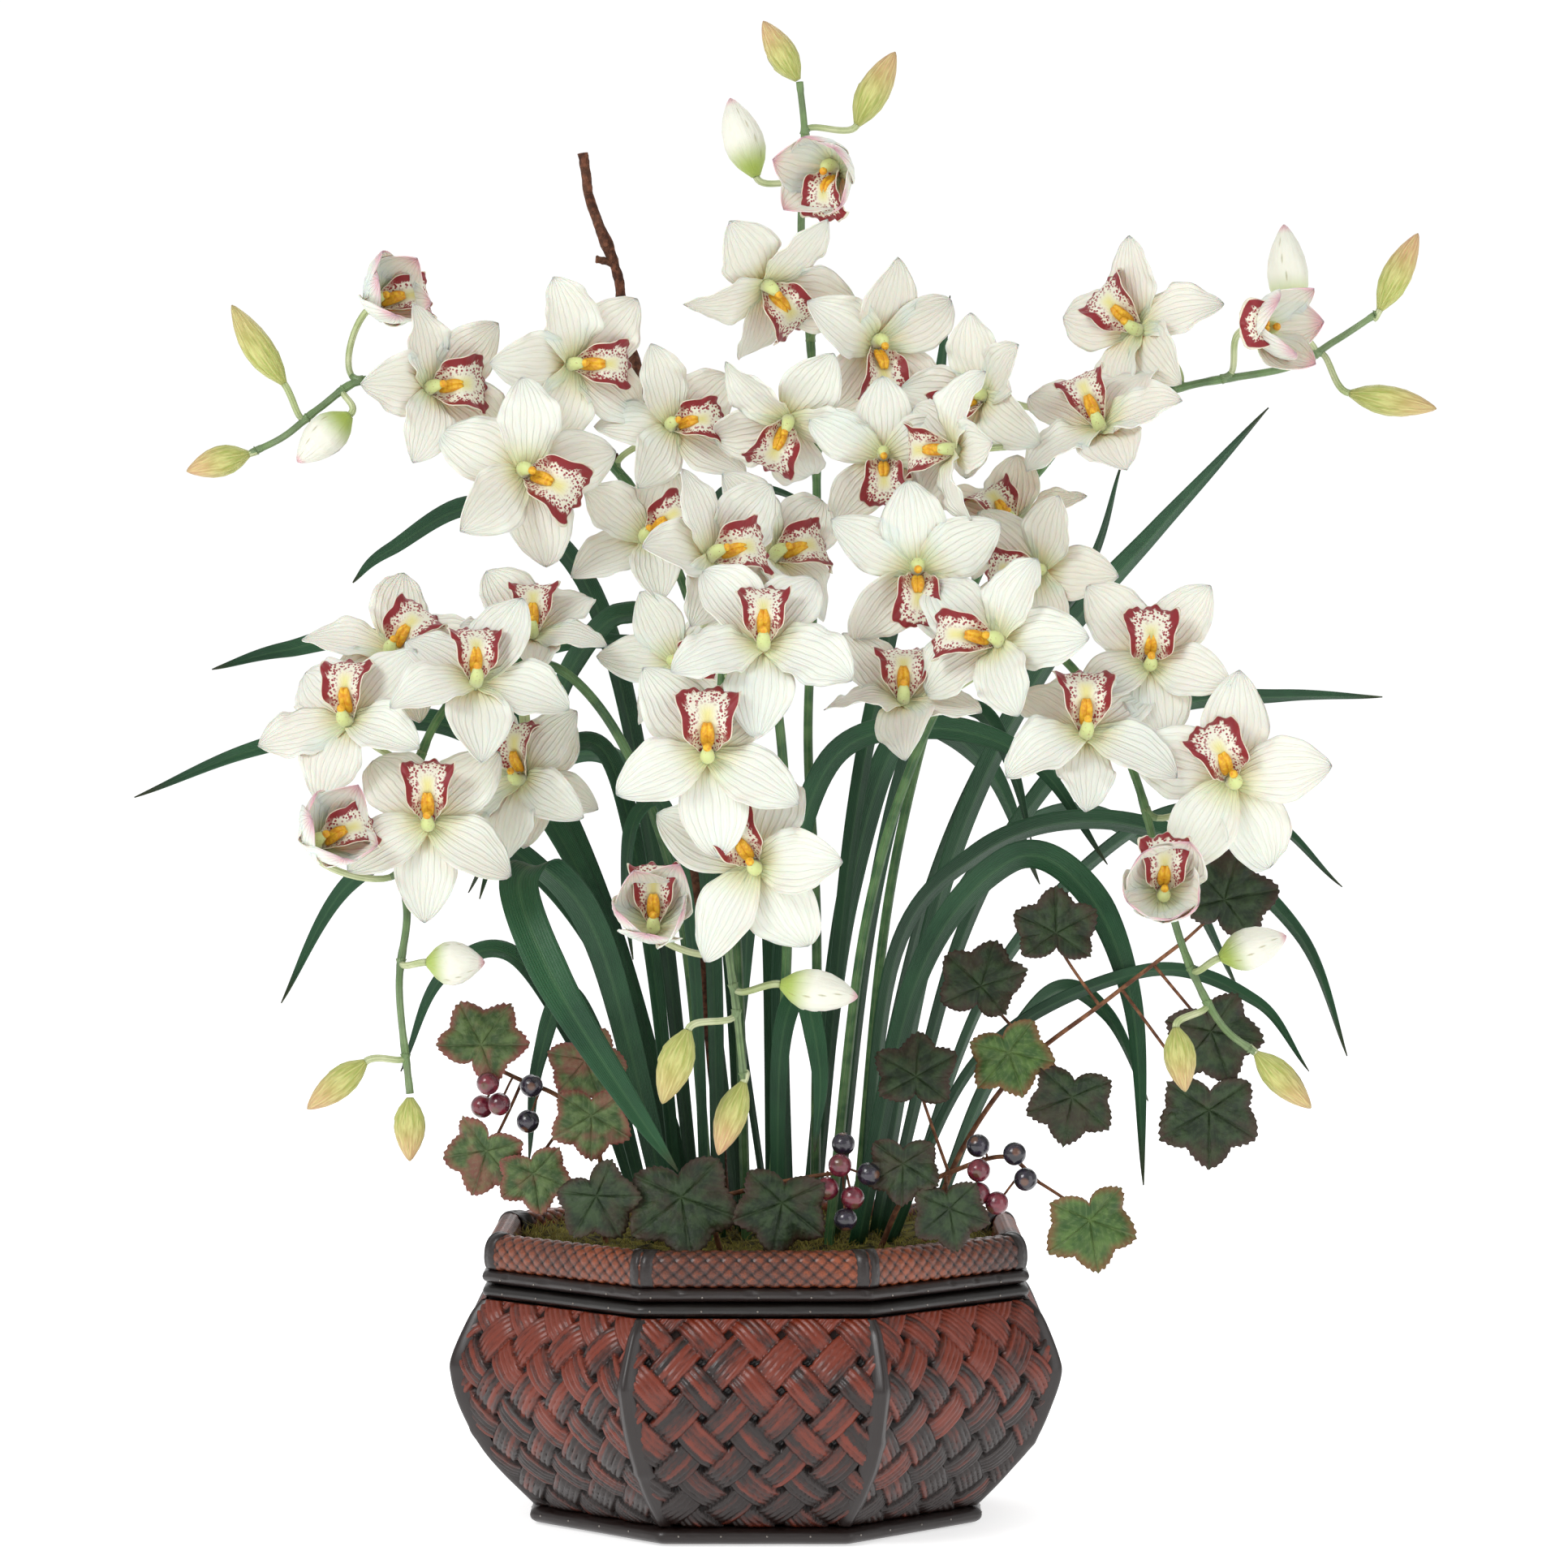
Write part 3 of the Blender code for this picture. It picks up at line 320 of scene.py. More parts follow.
def band_relief(across, along, seed):
    """Height, shade and grain of one set of slanting bands. across is counted in band pitches."""
    number = np.round(across)
    inside = (across - number) / (BAND_SHARE / 2)
    reed = (inside + 1) / 2 * REEDS_IN_BAND
    reed_number = np.floor(reed)
    round_top = np.sqrt(np.clip(1 - (2 * (reed - reed_number) - 1) ** 2, 0, 1))
    lift = np.tanh(1.7 * np.cos(math.pi * (along + number)))
    height = 0.0016 * lift + 0.0014 * round_top - 0.0005 * inside ** 2
    shade = np.modf(np.abs(np.sin(number * 12.9898 + reed_number * 4.1 + seed * 78.233) * 43758.5))[0]
    height = np.where(np.abs(inside) < 1, height, -0.01)
    return height, shade, number * 7.3 + reed * 0.25


# Gap colour: painted shade in the weave's holes and low places. Worn colour: also the painted top highlight.
wall_cane = stained_cane(
    "wall_cane", (0.002, 0.0015, 0.0015), (0.011, 0.0035, 0.002), (0.18, 0.022, 0.005), None, 9.0, 5.0,
    coat=0.25,
)
wall_rows = 150
wall_columns = 150
wall_curve = smooth_path(WALL_PROFILE, wall_rows - 1)
wall_length = np.concatenate([[0], np.cumsum(np.hypot(*np.diff(wall_curve, axis=0).T))])
steep = np.gradient(wall_curve, axis=0)
steep /= np.hypot(*steep.T)[:, None]
for panel in range(CORNERS):
    side = np.linspace(-1, 1, wall_columns)[None, :]
    height_up = wall_curve[:, 0][:, None]
    half_wide = wall_curve[:, 1][:, None]
    sideways = side * (half_wide * math.tan(HALF_TURN) - 0.001)
    up = wall_length[:, None] + 0.004 * panel
    a = (sideways * math.cos(BAND_SLANT) + up * math.sin(BAND_SLANT)) / BAND_PITCH
    b = (-sideways * math.cos(BAND_SLANT) + up * math.sin(BAND_SLANT)) / BAND_PITCH
    height_a, shade_a, grain_a = band_relief(a, b, panel + 1)
    height_b, shade_b, grain_b = band_relief(b, a + 1, panel + 11)
    top_is_a = height_a > height_b
    relief = np.maximum(np.maximum(height_a, height_b), -0.0034)
    out = half_wide + relief * steep[:, 0][:, None] - 0.0006
    lift = height_up - relief * steep[:, 1][:, None]
    turn = panel * math.tau / CORNERS - math.pi / 2
    x = out * math.cos(turn) - sideways * math.sin(turn)
    y = out * math.sin(turn) + sideways * math.cos(turn)
    points = np.stack([x, y, np.clip(lift, 0.0102, 0.1294)], axis=-1).reshape(-1, 3)
    uv = np.stack([np.where(top_is_a, grain_a, grain_b), np.where(top_is_a, b, a)], axis=-1).reshape(-1, 2)
    # The shade mark adds a painted highlight to each strip's random tone: the upper wall is made lighter.
    add_piece(
        f"wall_panel_{panel + 1}", points, grid_faces(wall_rows, wall_columns), [wall_cane], uv,
        marks={
            "height": np.clip((relief + 0.0034) / 0.0060, 0, 1).ravel(),
            "shade": (
                np.where(top_is_a, shade_a, shade_b) * 0.80 - 0.50
                + 0.80 * np.clip(height_up / 0.13, 0, 1) ** 1.3
            ).ravel(),
        },
        slot="woven_wall", node="pot_body",
    )


# ---- Basket core and filling ----------------------------------------------------------------------
# The thin ply behind the weave and its floor board, the plastic tub and the block of flower foam.
# They hardly show: dark stained ply and board, matt black plastic, dusty green foam.

def plain_finish(name, dark, light, roughness, scale, relief):
    surface, tree, shader = new_material(name, roughness, specular=0.3)
    grain = noise_of(tree, coordinates(tree, "Object"), scale, 6.0)
    tree.links.new(mix(tree, span(tree, grain, 0.3, 0.7), dark, light), shader.inputs["Base Color"])
    raise_surface(tree, shader, grain, relief)
    return surface


core_rings = []
for height, half in WALL_PROFILE + [(0.1292, 0.1458), (0.1465, 0.1458), (0.1465, 0.142), (0.1262, 0.142)]:
    inset = 0.0042 if height < 0.1292 else 0.0002
    radius = (half - inset) / math.cos(HALF_TURN)
    core_rings.append(
        [(radius * math.cos(t), radius * math.sin(t), height) for t in (np.arange(8) + 0.5) * 2 * HALF_TURN]
    )
core_points = np.array(core_rings).reshape(-1, 3)
core_faces = grid_faces(len(core_rings), CORNERS, wrap=True) + [tuple(reversed(range(CORNERS)))]
core_ply = plain_finish("core_ply", (0.012, 0.006, 0.005), (0.03, 0.012, 0.008), 0.7, 90.0, 0.0003)
add_piece("wall_core", core_points, core_faces, [core_ply], smooth=False, slot="woven_wall")

for node_name, finish in (
    ("base_board", plain_finish("board_ply", (0.10, 0.05, 0.025), (0.20, 0.10, 0.05), 0.65, 60.0, 0.0004)),
    ("liner", plain_finish("tub_plastic", (0.012, 0.012, 0.012), (0.025, 0.025, 0.025), 0.45, 300.0, 0.0001)),
    ("foam_block", plain_finish("flower_foam", (0.05, 0.12, 0.05), (0.12, 0.24, 0.11), 0.95, 500.0, 0.0006)),
):
    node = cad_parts[node_name]
    node.data.materials.clear()
    node.data.materials.append(finish)


# ---- Cane ribs and rods ---------------------------------------------------------------------------
# Split rattan ribs pinned down the eight corners, two half-round rods bent round the neck and one
# round the foot, all stained nearly black, rubbed red on their crowns, varnished and nailed.

rib_cane = stained_cane(
    "rib_cane", (0.010, 0.004, 0.003), (0.030, 0.007, 0.004), (0.20, 0.022, 0.008), 0.62, 5.0, 26.0, coat=0.35
)
foot_cane = stained_cane(
    "foot_cane", (0.010, 0.004, 0.003), (0.040, 0.009, 0.005), (0.20, 0.024, 0.009), 0.72, 5.0, 30.0, coat=0.3
)
rim_cane = stained_cane(
    "rim_cane", (0.010, 0.004, 0.003), (0.035, 0.007, 0.004), (0.17, 0.014, 0.006), 0.70, 5.0, 24.0, coat=0.4
)
collar_cane = stained_cane(
    "collar_cane", (0.006, 0.004, 0.003), (0.010, 0.005, 0.004), (0.045, 0.014, 0.008), 0.45, 5.0, 24.0,
    coat=0.3
)

RIB_HALF = 0.0066
for corner in range(CORNERS):
    turn = (corner + 0.5) * 2 * HALF_TURN
    outward = np.array([math.cos(turn), math.sin(turn), 0])
    sideways = np.array([-math.sin(turn), math.cos(turn), 0])
    upward = np.array([0, 0, 1])
    curve = smooth_path(WALL_PROFILE, 60)
    rows = []
    uv = []
    for row, (height, half) in enumerate(curve):
        height = min(max(height, 0.0105), 0.1291)
        part = row / 60
        swell = 1 + 0.05 * math.sin(part * 23 + corner) + 0.16 * math.exp(
            -((part - 0.31 - 0.07 * math.sin(corner * 2.3)) / 0.018) ** 2
        )
        narrow = 0.72 + 0.28 * math.sin(math.pi * min(part * 1.1, 1)) ** 0.6
        for around in np.linspace(-1, 1, 13):
            bow = math.cos(around * math.pi / 2)
            away = abs(around) * RIB_HALF * math.tan(HALF_TURN)
            depth = half / math.cos(HALF_TURN) - away * narrow - 0.0006 + 0.0046 * bow ** 0.7 * swell
            drift = 0.0006 * math.sin(part * 9 + corner)
            rows.append(
                outward * depth + sideways * (around * RIB_HALF * narrow * swell + drift) + upward * height
            )
            uv.append((around * 0.8 + corner * 3, part * 0.14))
    add_piece(
        f"corner_rib_{corner + 1}", rows, grid_faces(61, 13), [rib_cane], uv, slot="cane_rib",
        node=f"rib_{corner + 1}"
    )


def octagon_points(section, per_side=44, corner_round=0.10):
    """Sweeps a closed section of (half width across flats, height) points once round the octagon."""
    places = []
    uv = []
    length = 0
    for side in range(CORNERS):
        for step in range(per_side):
            part = -1 + 2 * (step + 0.5) / per_side
            angle = math.atan(part * math.tan(HALF_TURN))
            turn = side * 2 * HALF_TURN + angle
            stretch = 1 / math.cos(angle) - corner_round * 0.08 * max(0, abs(part) - 0.8) ** 2 * 5
            for index, (half, height) in enumerate(section(side + part / 2)):
                places.append((half * stretch * math.cos(turn), half * stretch * math.sin(turn), height))
                uv.append((index * 0.12, (side * per_side + step) * 0.0028))
    return places, uv


def swept_rod(name, section, surface, slot, node, sides, per_side=44):
    places, uv = octagon_points(section, per_side)
    rows = CORNERS * per_side
    faces = grid_faces(rows, sides, wrap=True, flip=True)
    for column in range(sides):
        after = (column + 1) % sides
        last = (rows - 1) * sides
        faces.append((column + last, column, after, after + last))
    return add_piece(name, places, faces, [surface], uv, slot=slot, node=node)


def half_round(inner, wide, low, high, wobble):
    """Section of a half-round rod with small dents and a shallow scratch line along it."""
    def section(travel):
        found = []
        for angle in np.linspace(-math.pi / 2, math.pi / 2, 11):
            dent = wobble * max(
                0, math.sin(travel * 31 + 2 * math.sin(travel * 7))
            ) ** 6 * math.exp(-((angle - 0.35) / 0.2) ** 2)
            reach = wide * (abs(math.cos(angle)) ** 0.7 - dent)
            found.append((inner + reach, (low + high) / 2 + (high - low) / 2 * math.sin(angle)))
        found.append((inner, high - 0.0002))
        found.append((inner, low + 0.0002))
        return found
    return section


swept_rod(
    "neck_collar", half_round(0.1463, 0.0088, 0.1297, 0.1378, 0.05), collar_cane, "cane_rod", "collar_rod", 13
)
swept_rod(
    "neck_rim_rod", half_round(0.1463, 0.0090, 0.1382, 0.1464, 0.16), rim_cane, "cane_rod", "rim_rod", 13, 90
)
swept_rod("foot_rod", half_round(0.1195, 0.0094, 0.0002, 0.0099, 0.04), foot_cane, "cane_rod", "base_rod", 13)

nail_steel, tree, shader = new_material("nail_steel", 0.35)
shader.inputs["Metallic"].default_value = 1
rust = noise_of(tree, coordinates(tree, "Object"), 900.0)
tree.links.new(mix(tree, rust, (0.10, 0.08, 0.07), (0.45, 0.42, 0.38)), shader.inputs["Base Color"])
nail_points = []
nail_faces = []
for side in range(CORNERS):
    for row, (reach, height) in enumerate(((0.1553, 0.1412), (0.1551, 0.1335), (0.1288, 0.0055))):
        for part in (-0.82, -0.38, 0.1, 0.55):
            turn = side * 2 * HALF_TURN
            along = (part + 0.09 * math.sin(side * 3 + row * 5)) * reach * math.tan(HALF_TURN)
            centre = np.array(
                [
                    reach * math.cos(turn) - along * math.sin(turn),
                    reach * math.sin(turn) + along * math.cos(turn), height
                ]
            )
            outward = np.array([math.cos(turn), math.sin(turn), 0])
            sideways = np.array([-math.sin(turn), math.cos(turn), 0])
            start = len(nail_points)
            for radius, rise in ((0.0007, -0.0004), (0.0006, 0.0001), (0.0003, 0.0003)):
                for step in range(8):
                    angle = step * math.tau / 8
                    nail_points.append(
                        centre + outward * rise
                        + radius * (math.cos(angle) * sideways + math.sin(angle) * np.array([0, 0, 1]))
                    )
            nail_faces += grid_faces(3, 8, wrap=True, start=start)
            nail_faces.append(tuple(range(start + 16, start + 24)))
add_piece("rod_nails", nail_points, nail_faces, [nail_steel], slot="cane_rod")


# ---- Plaited rim ----------------------------------------------------------------------------------
# A fat roll of narrow orange-brown cane plaited over the basket's lip in a fine diamond pattern, with
# flat dark binding strips bent over it at each corner.

# The gap colour is painted shade in the low places of the plait, set by its height mark.
rim_plait = stained_cane(
    "rim_plait", (0.004, 0.002, 0.001), (0.034, 0.007, 0.003), (0.32, 0.060, 0.008), 0.38, 6.0, 9.0, coat=0.5
)
RIM_PITCH = 0.0082
rim_section = []
for across, up in (
    (0.02, 0), (0.55, -0.01), (0.9, 0.02), (0.99, 0.2), (1.0, 0.42), (0.96, 0.66), (0.85, 0.85), (0.66, 0.97),
    (0.45, 1.0), (0.24, 0.95), (0.09, 0.8), (0.02, 0.5), (0.0, 0.2)
):
    rim_section.append((0.1394 + across * 0.0141, 0.1469 + up * 0.0190))
rim_ring = smooth_path(rim_section, 58)
rim_count = len(rim_ring)
rim_girth = np.concatenate([[0], np.cumsum(np.hypot(*np.diff(rim_ring, axis=0).T))])
outwards = np.gradient(rim_ring, axis=0)
outwards = np.stack([outwards[:, 1], -outwards[:, 0]], axis=-1)
outwards /= np.hypot(*outwards.T)[:, None]
rim_steps = 132
side_part = (-1 + 2 * (np.arange(rim_steps) + 0.5) / rim_steps)
rim_points = []
rim_uv = []
rim_height = []
for side in range(CORNERS):
    along = side_part[:, None] * 0.1465 * math.tan(HALF_TURN) + 0.003 * side
    girth = rim_girth[None, :]
    a = (along + girth * 1.05) / RIM_PITCH
    b = (along - girth * 1.05) / RIM_PITCH
    lay_a = np.cos(math.pi * (b + np.round(a))) * 0.0006 - 0.0011 * np.abs(2 * (a - np.round(a))) ** 5
    lay_b = -np.cos(math.pi * (a + np.round(b))) * 0.0006 - 0.0011 * np.abs(2 * (b - np.round(b))) ** 5
    relief = np.maximum(lay_a, lay_b)
    top_is_a = lay_a > lay_b
    angle = np.arctan(side_part * math.tan(HALF_TURN))
    turn = side * 2 * HALF_TURN + angle[:, None]
    stretch = 1 / np.cos(angle)[:, None]
    half = rim_ring[None, :, 0] + relief * outwards[None, :, 0] - 0.0004
    rise = rim_ring[None, :, 1] + relief * outwards[None, :, 1] - 0.0002
    rim_points.append(
        np.stack([half * stretch * np.cos(turn), half * stretch * np.sin(turn), rise], axis=-1).reshape(-1, 3)
    )
    number = np.where(top_is_a, np.round(a), np.round(b) + 0.5)
    across = np.where(top_is_a, a, b)
    rim_uv.append(np.stack([number * 3.1 + across, np.where(top_is_a, b, a)], axis=-1).reshape(-1, 2))
    rim_height.append(np.clip((relief + 0.0006) / 0.0011, 0, 1).ravel())
rim_rows = CORNERS * rim_steps
rim_faces = grid_faces(rim_rows, rim_count, flip=True)
last = (rim_rows - 1) * rim_count
for column in range(rim_count - 1):
    rim_faces.append((column + last, column, column + 1, column + 1 + last))
add_piece(
    "plaited_rim", np.vstack(rim_points), rim_faces, [rim_plait], np.vstack(rim_uv),
    marks={"height": np.concatenate(rim_height)}, slot="woven_rim", node="rim_band",
)

for corner in range(CORNERS):
    turn = (corner + 0.5) * 2 * HALF_TURN
    sideways = np.array([-math.sin(turn), math.cos(turn), 0])
    outward = np.array([math.cos(turn), math.sin(turn), 0])
    points = []
    uv = []
    for row in range(rim_count - 2):
        half, height = rim_ring[row] + outwards[row] * 0.0009
        for column, across in enumerate((-1, -0.93, -0.5, -0.12, -0.05, 0.05, 0.12, 0.5, 0.93, 1)):
            sink = 0.0011 if column in (0, 9) else (0.0012 if column in (4, 5) else 0)
            reach = half / math.cos(HALF_TURN) - abs(across) * 0.0068 * math.tan(HALF_TURN) - sink
            points.append(
                outward * (reach - 0.0004) + sideways * across * 0.0068
                + np.array([0, 0, height - sink * 0.6])
            )
            uv.append((across * 0.9 + corner, row * 0.02))
    add_piece(
        f"rim_binding_{corner + 1}", points, grid_faces(rim_count - 2, 10), [rib_cane], uv, slot="cane_rib"
    )


# ---- Moss -----------------------------------------------------------------------------------------
# Dried reindeer moss packed over the foam to the rim: a lumpy bed with thousands of fine curled
# shoots, yellow-green at their tips and brown below.

MOSS_TOP = 0.155
moss_bed, tree, shader = new_material("moss_bed", 0.95, specular=0.1)
clumps = noise_of(tree, coordinates(tree, "Object"), 110.0, 8.0)
tree.links.new(
    mix(tree, span(tree, clumps, 0.35, 0.65), (0.020, 0.016, 0.007), (0.16, 0.14, 0.03)),
    shader.inputs["Base Color"]
)
raise_surface(tree, shader, clumps, 0.004)
bed_rings, bed_spokes = 34, 128
radius = np.linspace(0.002, 1, bed_rings)[:, None]
spoke = np.linspace(0, math.tau, bed_spokes, endpoint=False)[None, :]
to_flat = np.cos((spoke + HALF_TURN) % (2 * HALF_TURN) - HALF_TURN)
reach = radius * 0.1384 / to_flat
bed_x = reach * np.cos(spoke)
bed_y = reach * np.sin(spoke)
lumps = np.array(
    [noise.fractal(Vector((x * 55, y * 55, 3.1)), 1.0, 2.0, 4) for x, y in zip(bed_x.ravel(), bed_y.ravel())]
)
bed_z = (
    MOSS_TOP + 0.0030 * np.clip(lumps.reshape(bed_x.shape), -1.2, 1.2) + 0.004 * np.sin(math.pi * radius ** 3)
    - 0.006 * radius ** 24
)
moss_points = np.stack([bed_x, bed_y, bed_z], axis=-1).reshape(-1, 3)
moss_faces = grid_faces(bed_rings, bed_spokes, wrap=True) + [tuple(reversed(range(bed_spokes)))]
add_piece("moss_bed", moss_points, moss_faces, [moss_bed], slot="moss", node="moss")

moss_shoots, tree, shader = new_material("moss_shoots", 0.9, specular=0.15)
shoot_colour = mix(tree, mark(tree, "tip"), (0.06, 0.045, 0.012), (0.42, 0.38, 0.07))
dry_colour = mix(tree, mark(tree, "tip"), (0.05, 0.035, 0.015), (0.26, 0.19, 0.06))
tree.links.new(mix(tree, mark(tree, "dry"), shoot_colour, dry_colour), shader.inputs["Base Color"])
chance = np.random.default_rng(7)
shoot_count = 3600
shoot_points = []
shoot_faces = []
shoot_tip = []
shoot_dry = []
for shoot in range(shoot_count):
    turn = chance.uniform(0, math.tau)
    reach = 0.139 * math.sqrt(chance.uniform(0.02, 0.97))
    base = np.array(
        [reach * math.cos(turn), reach * math.sin(turn), MOSS_TOP - 0.001 + 0.003 * (reach > 0.11)]
    )
    lean = chance.normal(0, 0.8, 2)
    length = chance.uniform(0.003, 0.009)
    dry = chance.uniform(0, 1)
    curl = chance.uniform(-1.6, 1.6)
    start = len(shoot_points)
    for step in range(4):
        part = step / 3
        bend = curl * part
        offset = np.array(
            [
                lean[0] * math.cos(bend) - lean[1] * math.sin(bend),
                lean[0] * math.sin(bend) + lean[1] * math.cos(bend), 0.9
            ]
        )
        centre = base + offset * length * part
        thick = 0.00042 * (1 - 0.75 * part)
        for side in range(3):
            angle = side * math.tau / 3 + turn
            shoot_points.append(centre + thick * np.array([math.cos(angle), math.sin(angle), 0.3]))
            shoot_tip.append(part)
            shoot_dry.append(dry)
    shoot_faces += grid_faces(4, 3, wrap=True, start=start)
shoot_points = np.array(shoot_points)
shoot_points[:, 2] = np.minimum(shoot_points[:, 2], 0.172)
add_piece(
    "moss_shoots", shoot_points, shoot_faces, [moss_shoots], marks={"tip": shoot_tip, "dry": shoot_dry},
    slot="moss"
)


# ---- Flower stems ---------------------------------------------------------------------------------
# Six arching flower stems, each a green cane with a scar and small sheath where every stalk leaves it.
# The stalks are paler and bend out to carry one flower or bud each. Wire inside, smooth soft skin.

# The lists below give places in millimetres, and the scene is in metres.
MM = 0.001


class Skins:
    """Gathers several skins, with their texture places and marks, into one mesh."""

    def __init__(self, *labels):
        self.points = []
        self.faces = []
        self.uv = []
        self.which = []
        self.marks = {label: [] for label in labels}

    def add(self, points, faces, uv, which=0, **marks):
        start = sum(len(block) for block in self.points)
        points = np.asarray(points, dtype=float).reshape(-1, 3)
        self.points.append(points)
        self.faces += [tuple(corner + start for corner in face) for face in faces]
        self.uv.append(np.asarray(uv, dtype=float).reshape(-1, 2))
        self.which += [which] * len(faces)
        for label, values in self.marks.items():
            values.append(np.broadcast_to(np.ravel(marks.get(label, 0.0)), (len(points),)))

    def build(self, name, surfaces, **rest):
        marks = {label: np.concatenate(values) for label, values in self.marks.items()}
        return add_piece(
            name, np.vstack(self.points), self.faces, surfaces, np.vstack(self.uv), self.which, marks, **rest
        )


def rod(path, radii, sides):
    """A round rod capped at both ends: points, faces, texture places, and how far along each point is."""
    path = np.asarray(path, dtype=float)
    radii = np.broadcast_to(np.asarray(radii, dtype=float), (len(path),))
    ahead = np.gradient(path, axis=0)
    ahead /= np.linalg.norm(ahead, axis=1)[:, None]
    travelled = np.concatenate([[0], np.cumsum(np.linalg.norm(np.diff(path, axis=0), axis=1))])
    across = np.array((0.31, 0.95, 0.12))
    angles = np.arange(sides) * math.tau / sides
    points = []
    uv = []
    for place, forward, radius, length in zip(path, ahead, radii, travelled):
        across = across - across.dot(forward) * forward
        across = across / np.linalg.norm(across)
        other = np.cross(forward, across)
        points.append(place + radius * (np.cos(angles)[:, None] * across + np.sin(angles)[:, None] * other))
        uv.append(np.stack([angles / math.tau, np.full(sides, length)], axis=-1))
    faces = grid_faces(len(path), sides, wrap=True)
    faces.append(tuple(reversed(range(sides))))
    faces.append(tuple(range((len(path) - 1) * sides, len(path) * sides)))
    part = np.repeat(travelled / travelled[-1], sides)
    return np.vstack(points), faces, np.vstack(uv), part


def bent(start, start_way, end, end_way, count):
    """A curve that leaves start one way and comes into end from the other."""
    part = np.linspace(0, 1, count)[:, None]
    near = start + start_way
    far = end + end_way
    return (
        (1 - part) ** 3 * start + 3 * (1 - part) ** 2 * part * near + 3 * (1 - part) * part ** 2 * far
        + part ** 3 * end
    )


def rooted_path(places, steps):
    """A straight foot down into the foam, then a smooth curve through the other places."""
    places = np.array(places, dtype=float) * MM
    return np.vstack([places[:1], smooth_path(places[1:], steps)])


def facing(x, y, z, right, up, turn):
    """Places a flower: local -Y is the way it faces, local -Z is where its lip points."""
    return np.array(
        Matrix.Translation(Vector((x, y, z)) * MM)
        @ Matrix.Rotation(math.radians(right), 4, "Z")
        @ Matrix.Rotation(math.radians(-up), 4, "X")
        @ Matrix.Rotation(math.radians(-turn), 4, "Y")
    )


def put(place, points):
    return np.asarray(points) @ place[:3, :3].T + place[:3, 3]


def nearest(path, target, first):
    """The number of the path's point closest to the target, leaving out its first points."""
    return first + int(np.argmin(np.linalg.norm(path[first:] - target, axis=1)))


# Where each stem runs, in millimetres, from its foot in the foam to its last bud.
SPRAY_STEMS = {
    "spray_1": [
        (34, 18, 105), (34, 18, 160), (35, 20, 335), (30, 15, 450), (35, 5, 570), (32, -5, 665),
        (26, -8, 735), (28, -10, 790), (25, -10, 825),
    ],
    "spray_2": [
        (-6, 24, 105), (-6, 24, 160), (-12, 24, 335), (-22, 20, 450), (-42, 10, 535), (-75, 0, 595),
        (-115, -10, 630), (-160, -20, 640), (-195, -25, 645), (-225, -30, 652), (-250, -30, 636),
        (-270, -30, 620), (-290, -30, 610),
    ],
    "spray_3": [
        (58, 22, 105), (58, 22, 160), (76, 24, 345), (105, 22, 475), (135, 12, 555), (170, 0, 610),
        (200, -10, 635), (250, -20, 650), (305, -20, 660), (332, -20, 675), (355, -20, 690),
    ],
    "spray_4": [
        (-26, 0, 105), (-26, 0, 160), (-42, 0, 335), (-70, -20, 430), (-105, -48, 482), (-140, -76, 490),
        (-168, -98, 470), (-185, -113, 440), (-196, -128, 385), (-192, -134, 350), (-196, -138, 310),
        (-190, -140, 252),
    ],
    "spray_5": [
        (8, -22, 105), (8, -22, 160), (18, -12, 335), (14, -22, 450), (0, -60, 515), (-15, -105, 535),
        (-15, -148, 505), (-20, -162, 450), (-15, -168, 385), (-15, -168, 340), (-10, -165, 300),
        (-6, -160, 262),
    ],
    "spray_6": [
        (42, -20, 105), (42, -20, 160), (62, -22, 335), (92, -42, 440), (125, -78, 495), (160, -108, 500),
        (192, -128, 465), (210, -138, 425), (222, -143, 380), (236, -148, 330), (255, -150, 292),
        (275, -150, 275),
    ],
}

